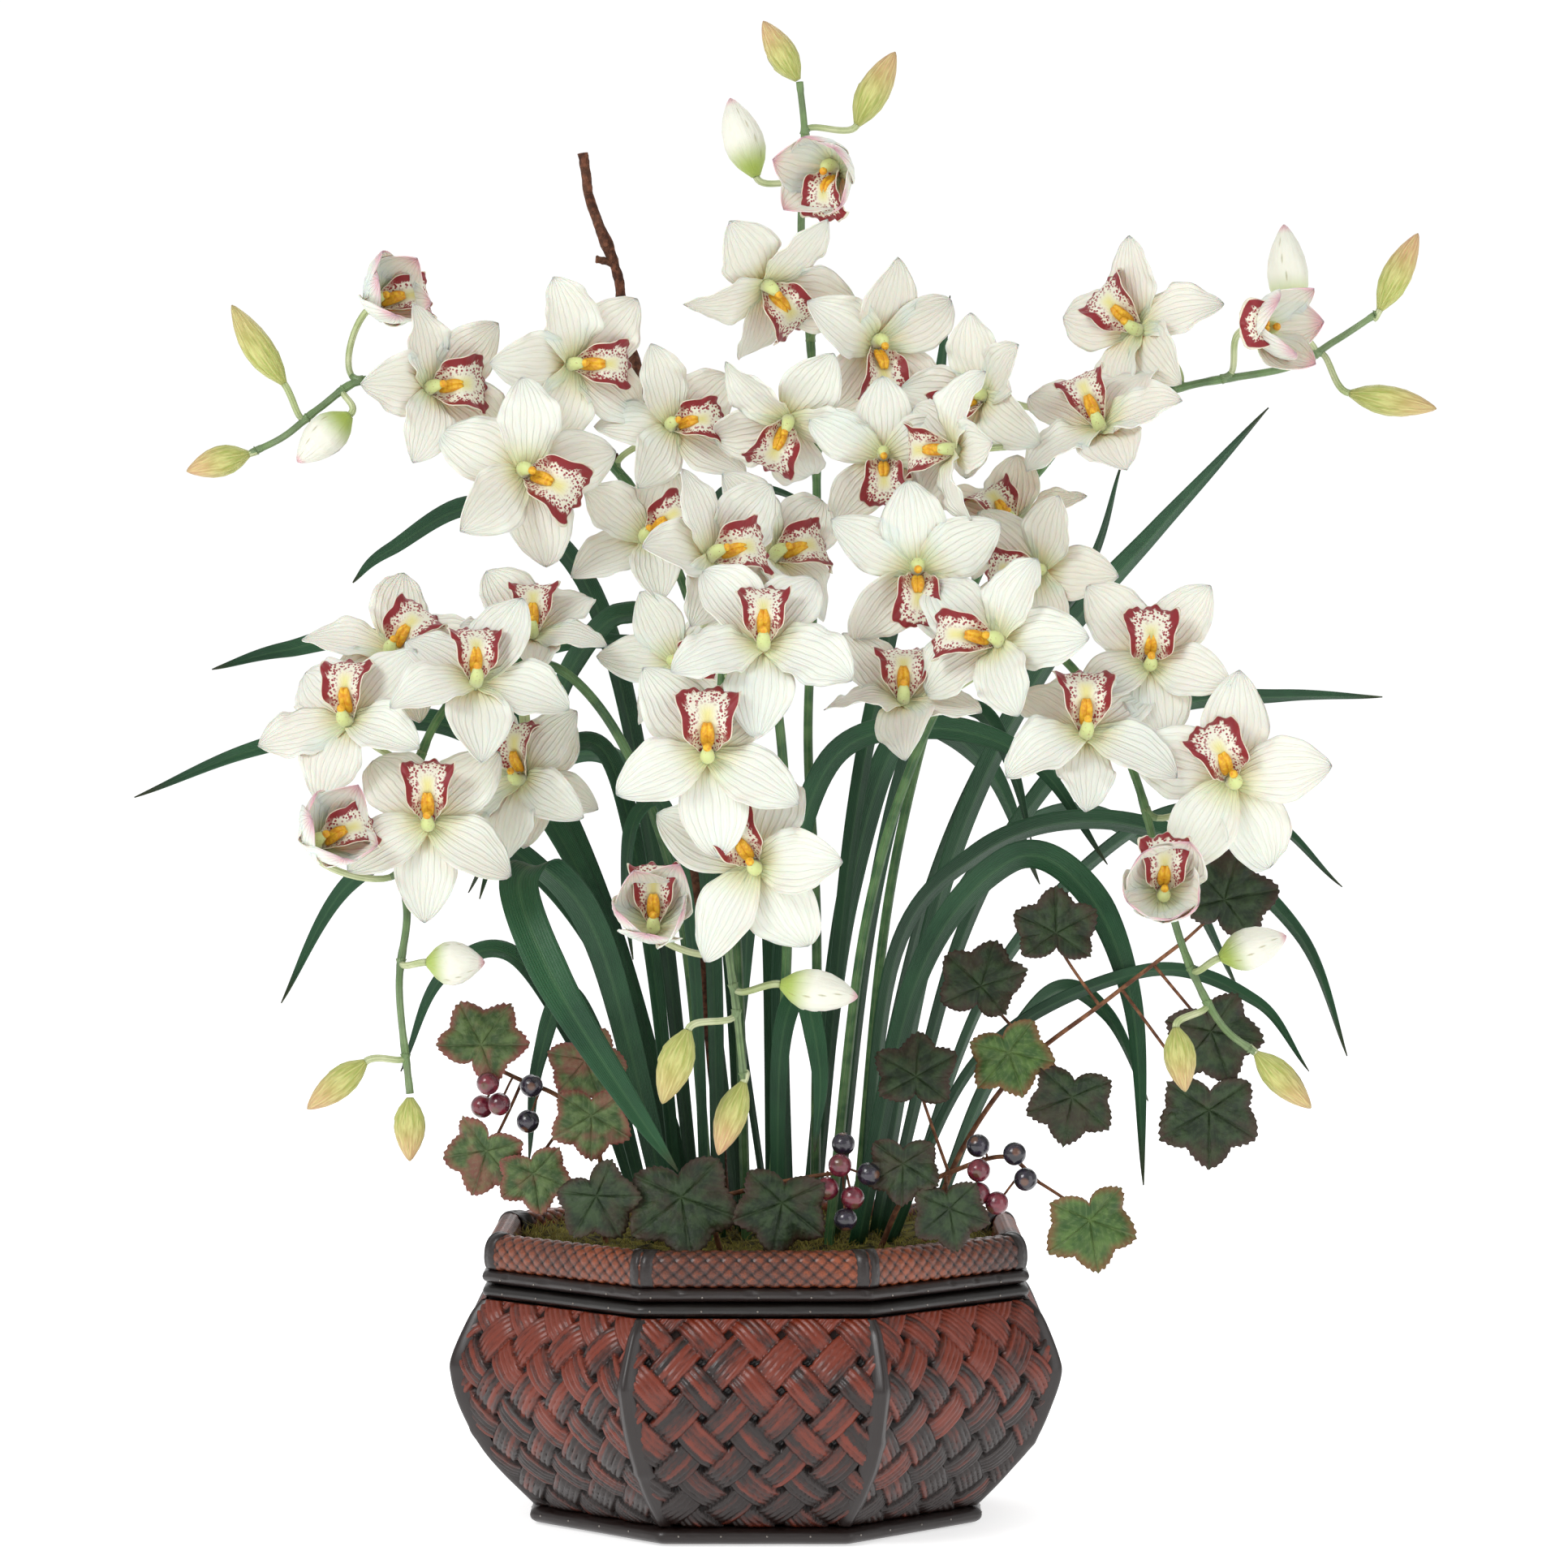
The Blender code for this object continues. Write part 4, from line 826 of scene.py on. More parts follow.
# Open flowers: middle in millimetres, facing to the right and up in degrees, turn of the lip from
# straight down towards the right in degrees, and size.
OPEN_FLOWERS = {
    "spray_1": [
        (5, -40, 705, 35, -25, 45, 1.0), (68, -34, 672, 20, -10, 0, 1.0),
        (18, -55, 628, -10, -35, -30, 0.95), (72, -72, 605, 0, 0, 0, 0.9),
    ],
    "spray_2": [
        (-185, -50, 645, 35, 10, 90, 1.0), (-105, -42, 660, 35, 0, 90, 1.0),
        (-130, -72, 597, 20, 0, 60, 1.05), (-48, -28, 625, 20, 15, 90, 0.9),
        (-62, -38, 560, 10, 30, 120, 0.9),
    ],
    "spray_3": [
        (220, -20, 682, -40, 15, -135, 1.0), (195, -66, 622, -25, 40, -150, 1.0),
        (129, -58, 640, -35, 0, -60, 0.9), (146, -40, 566, -20, 50, -135, 0.9),
        (112, -111, 608, -60, 0, -90, 0.9),
    ],
    "spray_4": [
        (-180, -132, 401, 0, 20, 180, 1.0), (-225, -116, 457, -15, 30, 180, 1.0),
        (-205, -70, 495, 10, 35, 135, 0.95), (-155, -124, 478, 10, 40, 180, 1.0),
        (-125, -80, 505, 0, 45, 180, 0.9), (-130, -85, 425, -30, 20, 180, 0.9),
        (-129, -45, 424, 0, 10, 180, 0.8),
    ],
    "spray_5": [
        (0, -190, 380, -10, 10, -150, 1.05), (-25, -202, 440, 0, 15, 180, 1.05),
        (5, -188, 498, 0, 35, 180, 1.0), (-24, -136, 547, 40, 20, 90, 1.0),
        (10, -90, 548, 40, 25, 90, 1.0), (-44, -72, 490, 0, 10, 90, 0.8),
    ],
    "spray_6": [
        (260, -154, 425, 0, 15, -150, 1.05), (180, -160, 450, 5, 35, 180, 1.0),
        (218, -126, 490, 0, 15, 180, 1.0), (160, -84, 542, -30, 0, -90, 0.9),
        (133, -150, 500, -30, 15, -90, 1.0), (90, -114, 540, 0, 0, 0, 1.0),
        (82, -124, 468, 0, 45, 180, 0.95),
    ],
}

# Half-open flowers: middle, facing right and up.
HALF_OPEN = {
    "spray_1": (46, -46, 770, -30, -10),
    "spray_2": (-220, -24, 695, 40, 20),
    "spray_3": (282, -54, 680, 50, 0),
    "spray_4": (-240, -150, 388, 30, 30),
    "spray_5": (-55, -165, 345, 0, 30),
    "spray_6": (222, -170, 365, 0, 10),
}

# Buds: where each starts, where its tip is, and its largest radius, in millimetres.
BUDS = {
    "spray_1": [((0, -15, 770), (-15, -15, 815), 11), ((24, -10, 826), (4, -10, 860), 8),
        ((58, -12, 800), (80, -12, 842), 9)],
    "spray_2": [((-232, -35, 632), (-262, -36, 605), 11), ((-270, -30, 650), (-300, -30, 695), 8),
        ((-290, -30, 610), (-326, -30, 600), 8)],
    "spray_3": [((308, -20, 690), (303, -20, 742), 11), ((358, -20, 693), (380, -20, 737), 8),
        ((340, -25, 645), (390, -26, 636), 8)],
    "spray_4": [((-180, -150, 325), (-148, -152, 325), 11), ((-214, -145, 270), (-246, -146, 244), 8),
        ((-190, -140, 250), (-190, -142, 215), 8)],
    "spray_5": [((14, -185, 315), (56, -186, 308), 11), ((-36, -182, 290), (-50, -184, 250), 9),
        ((-6, -160, 260), (-20, -160, 220), 8)],
    "spray_6": [((254, -162, 328), (290, -165, 340), 11), ((230, -162, 290), (235, -165, 255), 8),
        ((275, -150, 275), (305, -152, 245), 8)],
}

veins, veins_in, veins_out = new_group(
    "lengthwise_veins", [("Count", 12.0), ("Wander", 0.1), ("Sharpness", 0.4)],
    [("Mask", "NodeSocketFloat"), ("Streaks", "NodeSocketFloat")],
)
vein_place = veins.nodes.new("ShaderNodeSeparateXYZ")
veins.links.new(coordinates(veins, "UV"), vein_place.inputs[0])
vein_drift = maths(
    veins, "MULTIPLY", noise_of(veins, coordinates(veins, "UV"), 3.0, 3.0), veins_in.outputs["Wander"]
)
vein_turn = maths(
    veins, "MULTIPLY", maths(veins, "ADD", vein_place.outputs[0], vein_drift), veins_in.outputs["Count"]
)
vein_wave = maths(veins, "SINE", maths(veins, "MULTIPLY", vein_turn, math.tau))
veins.links.new(span(veins, vein_wave, veins_in.outputs["Sharpness"], 1.0), veins_out.inputs["Mask"])
veins.links.new(
    noise_of(veins, coordinates(veins, "UV"), 5.0, 6.0, (9.0, 0.8, 1.0)), veins_out.inputs["Streaks"]
)

mottle, mottle_in, mottle_out = new_group(
    "mottling",
    [("Scale", 60.0), ("Low", 0.4), ("High", 0.6), ("First", (0.0, 0.0, 0.0)), ("Second", (1.0, 1.0, 1.0))],
    [("Color", "NodeSocketColor"), ("Mask", "NodeSocketFloat")],
)
mottle_noise = mottle.nodes.new("ShaderNodeTexNoise")
mottle.links.new(coordinates(mottle, "Object"), mottle_noise.inputs["Vector"])
mottle.links.new(mottle_in.outputs["Scale"], mottle_noise.inputs["Scale"])
mottle_noise.inputs["Detail"].default_value = 6
mottle_mask = span(mottle, mottle_noise.outputs["Fac"], mottle_in.outputs["Low"], mottle_in.outputs["High"])
mottle.links.new(
    mix(mottle, mottle_mask, mottle_in.outputs["First"], mottle_in.outputs["Second"]),
    mottle_out.inputs["Color"]
)
mottle.links.new(mottle_mask, mottle_out.inputs["Mask"])

stem_skin, tree, shader = new_material("stem_skin", 0.38, specular=0.45)
stem_green = place_group(
    tree, mottle, Scale=90.0, Low=0.35, High=0.65, First=(0.035, 0.11, 0.035), Second=(0.10, 0.21, 0.07)
)
stalk_green = place_group(
    tree, mottle, Scale=70.0, Low=0.35, High=0.65, First=(0.42, 0.50, 0.22), Second=(0.62, 0.66, 0.40)
)
stem_lines = place_group(tree, veins, Count=7.0, Wander=0.2, Sharpness=0.2)
stem_colour = mix(tree, mark(tree, "pale"), stem_green.outputs["Color"], stalk_green.outputs["Color"])
stem_colour = mix(
    tree, maths(tree, "MULTIPLY", stem_lines.outputs["Mask"], 0.18), stem_colour, (0.30, 0.36, 0.16)
)
tree.links.new(stem_colour, shader.inputs["Base Color"])
raise_surface(tree, shader, stem_lines.outputs["Mask"], 0.0003)

stem_paths = {}
for name, places in SPRAY_STEMS.items():
    path = rooted_path(places, 110)
    stem_paths[name] = path
    ahead = np.gradient(path, axis=0)
    ahead /= np.linalg.norm(ahead, axis=1)[:, None]
    girth = np.linspace(0.0031, 0.0019, len(path))
    carried = []
    for flower_place in OPEN_FLOWERS[name] + [(*HALF_OPEN[name], 0, 1.0)]:
        place = facing(*flower_place[:6])
        heart = put(place, (0, 0.0015 if flower_place[6] else 0, 0))
        carried.append((nearest(path, put(place, (0, 0.022, 0)), 40), heart, place[:3, 1] * 0.022))
    for start, tip, radius in BUDS[name]:
        start = np.array(start) * MM
        back = (start - np.array(tip) * MM) * 0.12
        carried.append((nearest(path, start + back, 40), start, back * 1.8))
    skins = Skins("pale")
    for root, heart, arrive in carried:
        girth[max(root - 1, 0):root + 2] *= 1.14
        reach = np.linalg.norm(heart - path[root])
        if reach < 0.004:
            continue
        stalk_path = bent(path[root], ahead[root] * min(0.35 * reach, 0.02), heart, arrive, 16)
        stalk_radii = np.linspace(0.0018, 0.0021, 16)
        stalk_radii[0:2] = 0.0023
        points, faces, uv, part = rod(stalk_path, stalk_radii, 9)
        skins.add(points, faces, uv, pale=0.35 + 0.65 * np.clip(part * 3, 0, 1))
        sheath_path = stalk_path[:4] + (path[root] - stalk_path[0])
        points, faces, uv, part = rod(sheath_path, np.linspace(0.0031, 0.0019, 4), 9)
        skins.add(points, faces, uv, pale=0.2)
    points, faces, uv, part = rod(path, girth, 12)
    skins.add(points, faces, uv, pale=0.25 * np.clip(part * 4 - 3, 0, 1))
    skins.build(f"{name}_stem", [stem_skin], slot="spray", node=name)


# ---- Open flowers ---------------------------------------------------------------------------------
# Orchid heads of stiff coated cloth: five white waved tepals, a three-lobed speckled lip with a frilled
# maroon edge, its yellow ridge, and the small arched column over it. Each is pushed on to its stalk.

tepal_cloth, tree, shader = new_material("tepal_cloth", 0.50, specular=0.35, sheen=0.10, subsurface=0.25)
fine = place_group(tree, veins, Count=9.0, Wander=0.12, Sharpness=0.0)
cream = mix(tree, span(tree, mark(tree, "along"), 0.00, 0.42), (0.74, 0.72, 0.38), (0.86, 0.845, 0.765))
cream = mix(tree, maths(tree, "MULTIPLY", fine.outputs["Mask"], 0.09), cream, (0.74, 0.73, 0.58))
cream = mix(tree, span(tree, fine.outputs["Streaks"], 0.45, 0.75, 0.0, 0.22), cream, (0.72, 0.73, 0.56))
blush = maths(tree, "MULTIPLY", mark(tree, "pink"), span(tree, mark(tree, "along"), 0.72, 1.0))
blush = maths(tree, "MULTIPLY", blush, span(tree, fine.outputs["Streaks"], 0.30, 0.60, 0.4, 1.0))
cream = mix(tree, blush, cream, (0.80, 0.30, 0.42))
tree.links.new(cream, shader.inputs["Base Color"])
raise_surface(tree, shader, maths(tree, "ADD", fine.outputs["Mask"], fine.outputs["Streaks"]), 0.0005, 0.8)

lip_cloth, tree, shader = new_material("lip_cloth", 0.45, specular=0.35, subsurface=0.15)
spots = tree.nodes.new("ShaderNodeTexVoronoi")
spots.inputs["Scale"].default_value = 620
tree.links.new(coordinates(tree, "Object"), spots.inputs["Vector"])
ray_place = tree.nodes.new("ShaderNodeCombineXYZ")
tree.links.new(maths(tree, "MULTIPLY", mark(tree, "ray"), 24.0), ray_place.inputs[0])
tree.links.new(maths(tree, "MULTIPLY", mark(tree, "edge"), 2.0), ray_place.inputs[1])
rays = noise_of(tree, ray_place.outputs[0], 1.0, 3.0)
speckled = span(tree, spots.outputs["Distance"], 0.36, 0.50, 1.0, 0.0)
speckled = maths(tree, "MULTIPLY", speckled, span(tree, mark(tree, "edge"), 0.22, 0.48))
border = span(tree, maths(tree, "ADD", mark(tree, "edge"), maths(tree, "MULTIPLY", rays, 0.62)), 0.93, 1.05)
border = maths(tree, "MULTIPLY", border, mark(tree, "frill"))
hem = span(tree, mark(tree, "edge"), 0.965, 0.995)
lip_colour = mix(tree, span(tree, mark(tree, "edge"), 0.0, 0.4), (0.80, 0.72, 0.30), (0.83, 0.79, 0.66))
lip_colour = mix(tree, speckled, lip_colour, (0.30, 0.035, 0.05))
lip_colour = mix(tree, border, lip_colour, (0.24, 0.022, 0.028))
lip_colour = mix(tree, hem, lip_colour, (0.80, 0.74, 0.60))
tree.links.new(lip_colour, shader.inputs["Base Color"])
raise_surface(tree, shader, rays, 0.0006)

ridge_wax, tree, shader = new_material("ridge_wax", 0.38, specular=0.5)
ridge_gold = place_group(
    tree, mottle, Scale=500.0, Low=0.3, High=0.7, First=(0.72, 0.28, 0.01), Second=(0.90, 0.55, 0.03)
)
tree.links.new(ridge_gold.outputs["Color"], shader.inputs["Base Color"])
raise_surface(tree, shader, ridge_gold.outputs["Mask"], 0.0003)

column_wax, tree, shader = new_material("column_wax", 0.40, specular=0.45, subsurface=0.1)
column_colour = mix(tree, span(tree, mark(tree, "along"), 0.2, 0.8), (0.80, 0.80, 0.62), (0.66, 0.72, 0.30))
column_spots = place_group(
    tree, mottle, Scale=900.0, Low=0.62, High=0.68, First=(0.0, 0.0, 0.0), Second=(1.0, 1.0, 1.0)
)
column_colour = mix(
    tree, maths(tree, "MULTIPLY", column_spots.outputs["Mask"], 0.6), column_colour, (0.35, 0.05, 0.06)
)
tree.links.new(column_colour, shader.inputs["Base Color"])
raise_surface(tree, shader, column_spots.outputs["Mask"], 0.0001)

TEPAL_LONG = 0.055
TEPAL_HALF = 0.0172
TEPAL_ANGLES = (90, 230, 310, 152, 28)


def tepal(angle, long, half, lean, curl, cup, wave, twist, phase):
    """One tepal in the flower's own frame: lean tips it forward, and curl bends it along its length."""
    rows, columns = ((27, 15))
    along = np.linspace(0, 1, rows)[:, None]
    across = np.linspace(-1, 1, columns)[None, :]
    bend = np.radians(lean + curl * along)
    step = long / (rows - 1)
    radial = 0.002 + np.vstack([[[0]], np.cumsum(np.cos(bend)[:-1], axis=0)]) * step
    forward = np.vstack([[[0]], np.cumsum(np.sin(bend)[:-1], axis=0)]) * step
    top = np.clip((along - 0.48) / 0.52, 0, 1)
    width = half * (0.30 + 0.70 * np.sin(math.pi / 2 * np.clip(along / 0.52, 0, 1)) ** 1.2)
    width = width * (1 - top ** 1.7) ** 0.80 + half * 0.02
    side = width * across * (1 - 0.10 * abs(cup) * across ** 2)
    ripple = np.sin(
        math.tau * (along * 1.9 + phase + 0.31 * np.sign(across))
    ) + 0.5 * np.sin(math.tau * (along * 4.3 + phase * 3 + across))
    rise = (
        cup * width * across ** 2
        + wave * ripple * np.abs(across) ** 2.5 * np.sin(math.pi * np.clip(along * 1.05, 0, 1)) ** 0.5
    )
    rise = rise + 0.00016 * np.sin(across * 19) - 0.0007 * np.exp(-((across / 0.10) ** 2)) * (1 - along)
    swing = np.radians(twist) * along
    outward = np.array((math.cos(math.radians(angle)), 0, math.sin(math.radians(angle))))
    aside = np.array((math.sin(math.radians(angle)), 0, -math.cos(math.radians(angle))))
    front = np.array((0, -1, 0))
    up = -np.sin(bend)[..., None] * outward + np.cos(bend)[..., None] * front
    points = radial[..., None] * outward + forward[..., None] * front
    points = (
        points + (side * np.cos(swing))[..., None] * aside + (rise + side * np.sin(swing))[..., None] * up
    )
    uv = np.stack(np.broadcast_arrays(across * 0.5, along), axis=-1)
    how_far = np.broadcast_to(along, (rows, columns)).ravel()
    return points.reshape(-1, 3), grid_faces(rows, columns), uv.reshape(-1, 2), how_far


def lip(spread, tilt, phase):
    """The three-lobed lip: a trough that stands up at both sides, then a wide frilled tongue."""
    rows, columns = ((37, 33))
    along = np.linspace(0, 1, rows)
    across = np.linspace(-1, 1, columns)[None, :]
    middle = smooth_path(
        [
            (0.002, 0.002), (0.010, 0.007), (0.0165, 0.0105), (0.0185, 0.0175), (0.0170, 0.0255),
            (0.0125, 0.0300)
        ],
        rows - 1
    )
    middle[:, 1] += tilt * middle[:, 0]
    ahead = np.gradient(middle, axis=0)
    ahead /= np.hypot(*ahead.T)[:, None]
    half = np.interp(
        along, (0, 0.15, 0.34, 0.48, 0.62, 0.80, 0.92, 1),
        (0.005, 0.0105, 0.0150, 0.0135, 0.0155, 0.0165, 0.0135, 0.0060)
    ) * spread
    half = np.convolve(np.pad(half, 1, mode="edge"), (0.25, 0.5, 0.25), mode="valid")[:, None]
    roll = np.interp(along, (0, 0.30, 0.50, 0.75, 1), (1.4, 1.35, 0.75, 0.25, -0.35))[:, None]
    angle = across * roll
    aside = half * np.where(
        np.abs(roll) > 0.01, np.sin(angle) / np.where(np.abs(roll) > 0.01, roll, 1), across
    )
    stand = half * np.where(
        np.abs(roll) > 0.01, (1 - np.cos(angle)) / np.where(np.abs(roll) > 0.01, roll, 1), 0
    )
    late = np.clip((along[:, None] - 0.5) / 0.5, 0, 1)
    edge = np.clip((np.abs(across) ** 3 + late ** 3) ** (1 / 3), 0, 1)
    ray = np.arctan2(across * half, middle[:, 1][:, None] - 0.010) / math.pi
    frill = 0.0015 * np.sin(ray * 30 + phase) + 0.0008 * np.sin(ray * 67 + phase * 2)
    stand = stand + frill * edge ** 5 * np.clip((along[:, None] - 0.35) * 4, 0.35, 1)
    forward = middle[:, 0][:, None] + stand * ahead[:, 1][:, None]
    down = middle[:, 1][:, None] - stand * ahead[:, 0][:, None]
    points = np.stack(np.broadcast_arrays(aside, -forward, -down), axis=-1)
    uv = np.stack(np.broadcast_arrays(across * 0.5, along[:, None]), axis=-1)
    shape = (rows, columns)
    marks = {
        "edge": edge.ravel(), "ray": np.broadcast_to(ray, shape).ravel(),
        "frill": np.broadcast_to(np.clip((along[:, None] - 0.12) * 5, 0, 1), shape).ravel(),
    }
    return points.reshape(-1, 3), grid_faces(rows, columns), uv.reshape(-1, 2), marks


def flower_head(name, node, place, size, tepals, lip_spread, chance, pink=0.0):
    """Builds one flower from its tepals, each (angle, long, half, lean, curl, cup, wave, twist)."""
    skins = Skins("along", "edge", "ray", "frill", "pink")
    for number, shape in enumerate(tepals):
        points, faces, uv, along = tepal(*shape, chance.uniform(0, 1))
        points[:, 1] += 0.0007 * (number < 3) - 0.0004 * number
        skins.add(
            put(place, points * size), faces, uv + (chance.uniform(0, 5), chance.uniform(0, 5)), 0,
            along=along, pink=pink
        )
    points, faces, uv, marks = lip(lip_spread, chance.uniform(-0.15, 0.25), chance.uniform(0, 6))
    skins.add(put(place, points * size), faces, uv, 1, **marks)
    for side in (-1, 1):
        ridge_path = np.array(
            [
                (side * 0.0014, -0.0060, -0.0032), (side * 0.0016, -0.0105, -0.0052),
                (side * 0.0015, -0.0150, -0.0078), (side * 0.0010, -0.0172, -0.0115)
            ]
        )
        points, faces, uv, part = rod(
            smooth_path(ridge_path, 9), 0.0019 * np.sin(np.linspace(0.5, 2.9, 10)) ** 0.5, 8
        )
        skins.add(put(place, points * size), faces, uv, 2)
    column_path = smooth_path(
        [(0, 0.001, 0.0005), (0, -0.006, 0.0034), (0, -0.0115, 0.0038), (0, -0.0155, 0.0012)], 12
    )
    points, faces, uv, part = rod(
        column_path, 0.0036 * np.sqrt(np.clip(1.03 - np.linspace(0.15, 1, 13) ** 6, 0.05, 1)), 12
    )
    skins.add(put(place, points * size), faces, uv, 3, along=part)
    cap_turn = np.linspace(0.05, math.pi - 0.05, 7)
    cap_path = np.array([(0, -0.0160, 0.0010)]) + np.outer(-np.cos(cap_turn), (0, -0.0019, -0.0009))
    points, faces, uv, part = rod(cap_path, 0.0021 * np.sin(cap_turn), 10)
    skins.add(put(place, points * size), faces, uv, 2)
    head = skins.build(name, [tepal_cloth, lip_cloth, ridge_wax, column_wax], slot="spray", node=node)
    thick = head.modifiers.new("cloth_thickness", "SOLIDIFY")
    thick.thickness = 0.0005
    thick.offset = 0
    return head


for name, flowers in OPEN_FLOWERS.items():
    for number, (x, y, z, right, up, turn, size) in enumerate(flowers, 1):
        chance = np.random.default_rng(1000 + 37 * number + int(name[-1]) * 811)
        tepals = []
        for order, angle in enumerate(TEPAL_ANGLES):
            is_petal = order > 2
            tepals.append((
                angle + chance.normal(0, 4), TEPAL_LONG * chance.uniform(0.92, 1.03),
                TEPAL_HALF * (1.0 if is_petal else 1.06) * chance.uniform(0.92, 1.08),
                chance.uniform(14, 38) + 6 * is_petal, chance.uniform(-85, -5), chance.uniform(0.0, 0.35),
                chance.uniform(0.0012, 0.0030), chance.normal(0, 20),
            ))
        flower_head(
            f"{name}_flower_{number}", name, facing(x, y, z, right, up, turn), size, tepals,
            chance.uniform(0.95, 1.15), chance
        )


# ---- Half-open flowers and buds -------------------------------------------------------------------
# Younger heads of the same cloth, still cupped round the lip with blushed tips, and closed buds:
# folded sepals over a padded core, yellow-green at the foot, peach and pink towards the point.

for name, (x, y, z, right, up) in HALF_OPEN.items():
    chance = np.random.default_rng(5000 + int(name[-1]) * 17)
    lip_turn = {
        "spray_1": 0, "spray_2": 90, "spray_3": -90, "spray_4": 100, "spray_5": 180, "spray_6": 180
    }[name]
    tepals = []
    for order, angle in enumerate(TEPAL_ANGLES):
        tepals.append((
            angle + chance.normal(0, 5), 0.044 * chance.uniform(0.92, 1.05), 0.0185, chance.uniform(20, 34),
            chance.uniform(58, 78),
            chance.uniform(0.25, 0.5), chance.uniform(0.0003, 0.0009), chance.normal(0, 8),
        ))
    place = facing(x, y, z, right, up, lip_turn)
    flower_head(f"{name}_half_open", name, place, 0.98, tepals, 0.92, chance, pink=0.8)

bud_cloth, tree, shader = new_material("bud_cloth", 0.48, specular=0.35, sheen=0.1, subsurface=0.1)
bud_lines = place_group(tree, veins, Count=14.0, Wander=0.15, Sharpness=0.1)
green_end = mix(
    tree, span(tree, bud_lines.outputs["Streaks"], 0.35, 0.65), (0.36, 0.42, 0.09), (0.60, 0.60, 0.22)
)
peach_end = mix(
    tree, span(tree, bud_lines.outputs["Streaks"], 0.35, 0.65), (0.66, 0.33, 0.20), (0.72, 0.55, 0.26)
)
peach_part = maths(tree, "MULTIPLY", span(tree, mark(tree, "along"), 0.25, 0.95), mark(tree, "blush"))
closed_colour = mix(tree, peach_part, green_end, peach_end)
closed_colour = mix(
    tree, maths(tree, "MULTIPLY", bud_lines.outputs["Mask"], 0.35), closed_colour, (0.40, 0.33, 0.09)
)
young_colour = mix(tree, span(tree, mark(tree, "along"), 0.08, 0.48), (0.40, 0.52, 0.10), (0.83, 0.83, 0.72))
young_colour = mix(
    tree, span(tree, mark(tree, "along"), 0.88, 1.0, 0.0, 0.7), young_colour, (0.80, 0.32, 0.42)
)
bud_colour = mix(tree, mark(tree, "young"), closed_colour, young_colour)
bud_colour = mix(tree, span(tree, mark(tree, "seam"), 0.55, 1.0, 0.0, 0.6), bud_colour, (0.30, 0.27, 0.07))
tree.links.new(bud_colour, shader.inputs["Base Color"])
raise_surface(tree, shader, bud_lines.outputs["Streaks"], 0.0008)

for name, buds in BUDS.items():
    for number, (start, tip, radius) in enumerate(buds, 1):
        chance = np.random.default_rng(300 + number * 7 + int(name[-1]) * 31)
        start = np.array(start) * MM
        tip = np.array(tip) * MM
        along = tip - start
        length = np.linalg.norm(along)
        forward = along / length
        across = np.cross(forward, (0.2, 1, 0.1))
        across /= np.linalg.norm(across)
        other = np.cross(forward, across)
        rows, sides = 30, 36
        part = np.linspace(0, 1, rows)[:, None]
        angle = np.linspace(0, math.tau, sides, endpoint=False)[None, :]
        swell = np.interp(
            part, (0, 0.06, 0.16, 0.30, 0.46, 0.62, 0.78, 0.90, 0.97, 1),
            (0.22, 0.40, 0.70, 0.94, 1.0, 0.90, 0.66, 0.38, 0.18, 0.04)
        )
        lean = angle + 0.9 * part + chance.uniform(0, 6)
        lobes = (lean * 3 / math.tau) % 1
        seam = np.exp(-(((lobes - 0.5) / 0.045) ** 2))
        fold = 0.10 * (lobes - 0.5) + 0.035 * np.sin(lean * 2) - 0.07 * seam
        reach = radius * 1.08 * MM * swell * (1 + fold * np.sin(math.pi * np.clip(part + 0.08, 0, 1)))
        bow = np.sin(math.pi * part) * chance.uniform(0.02, 0.08) * length
        centre = start + part[..., None] * along + bow[..., None] * other
        points = (
            centre + (reach * np.cos(angle))[..., None] * across + (reach * np.sin(angle))[..., None] * other
        )
        faces = grid_faces(rows, sides, wrap=True) + [
            tuple(reversed(range(sides))), tuple(range((rows - 1) * sides, rows * sides))
        ]
        uv = np.stack(np.broadcast_arrays(angle / math.tau, part), axis=-1).reshape(-1, 2)
        add_piece(
            f"{name}_bud_{number}", points.reshape(-1, 3), faces, [bud_cloth], uv,
            marks={
                "along": np.broadcast_to(part, (rows, sides)).ravel(), "seam": seam.ravel(),
                "young": np.full(rows * sides, float(number == 1)),
                "blush": np.full(rows * sides, chance.uniform(0.35, 1.0)),
            },
            slot="spray", node=name,
        )


# ---- Strap leaves ---------------------------------------------------------------------------------
# Twenty-eight long arching leaves of coated cloth, wired along the keel: dark green and satin, with
# fine parallel veins and a pale line down the middle groove.

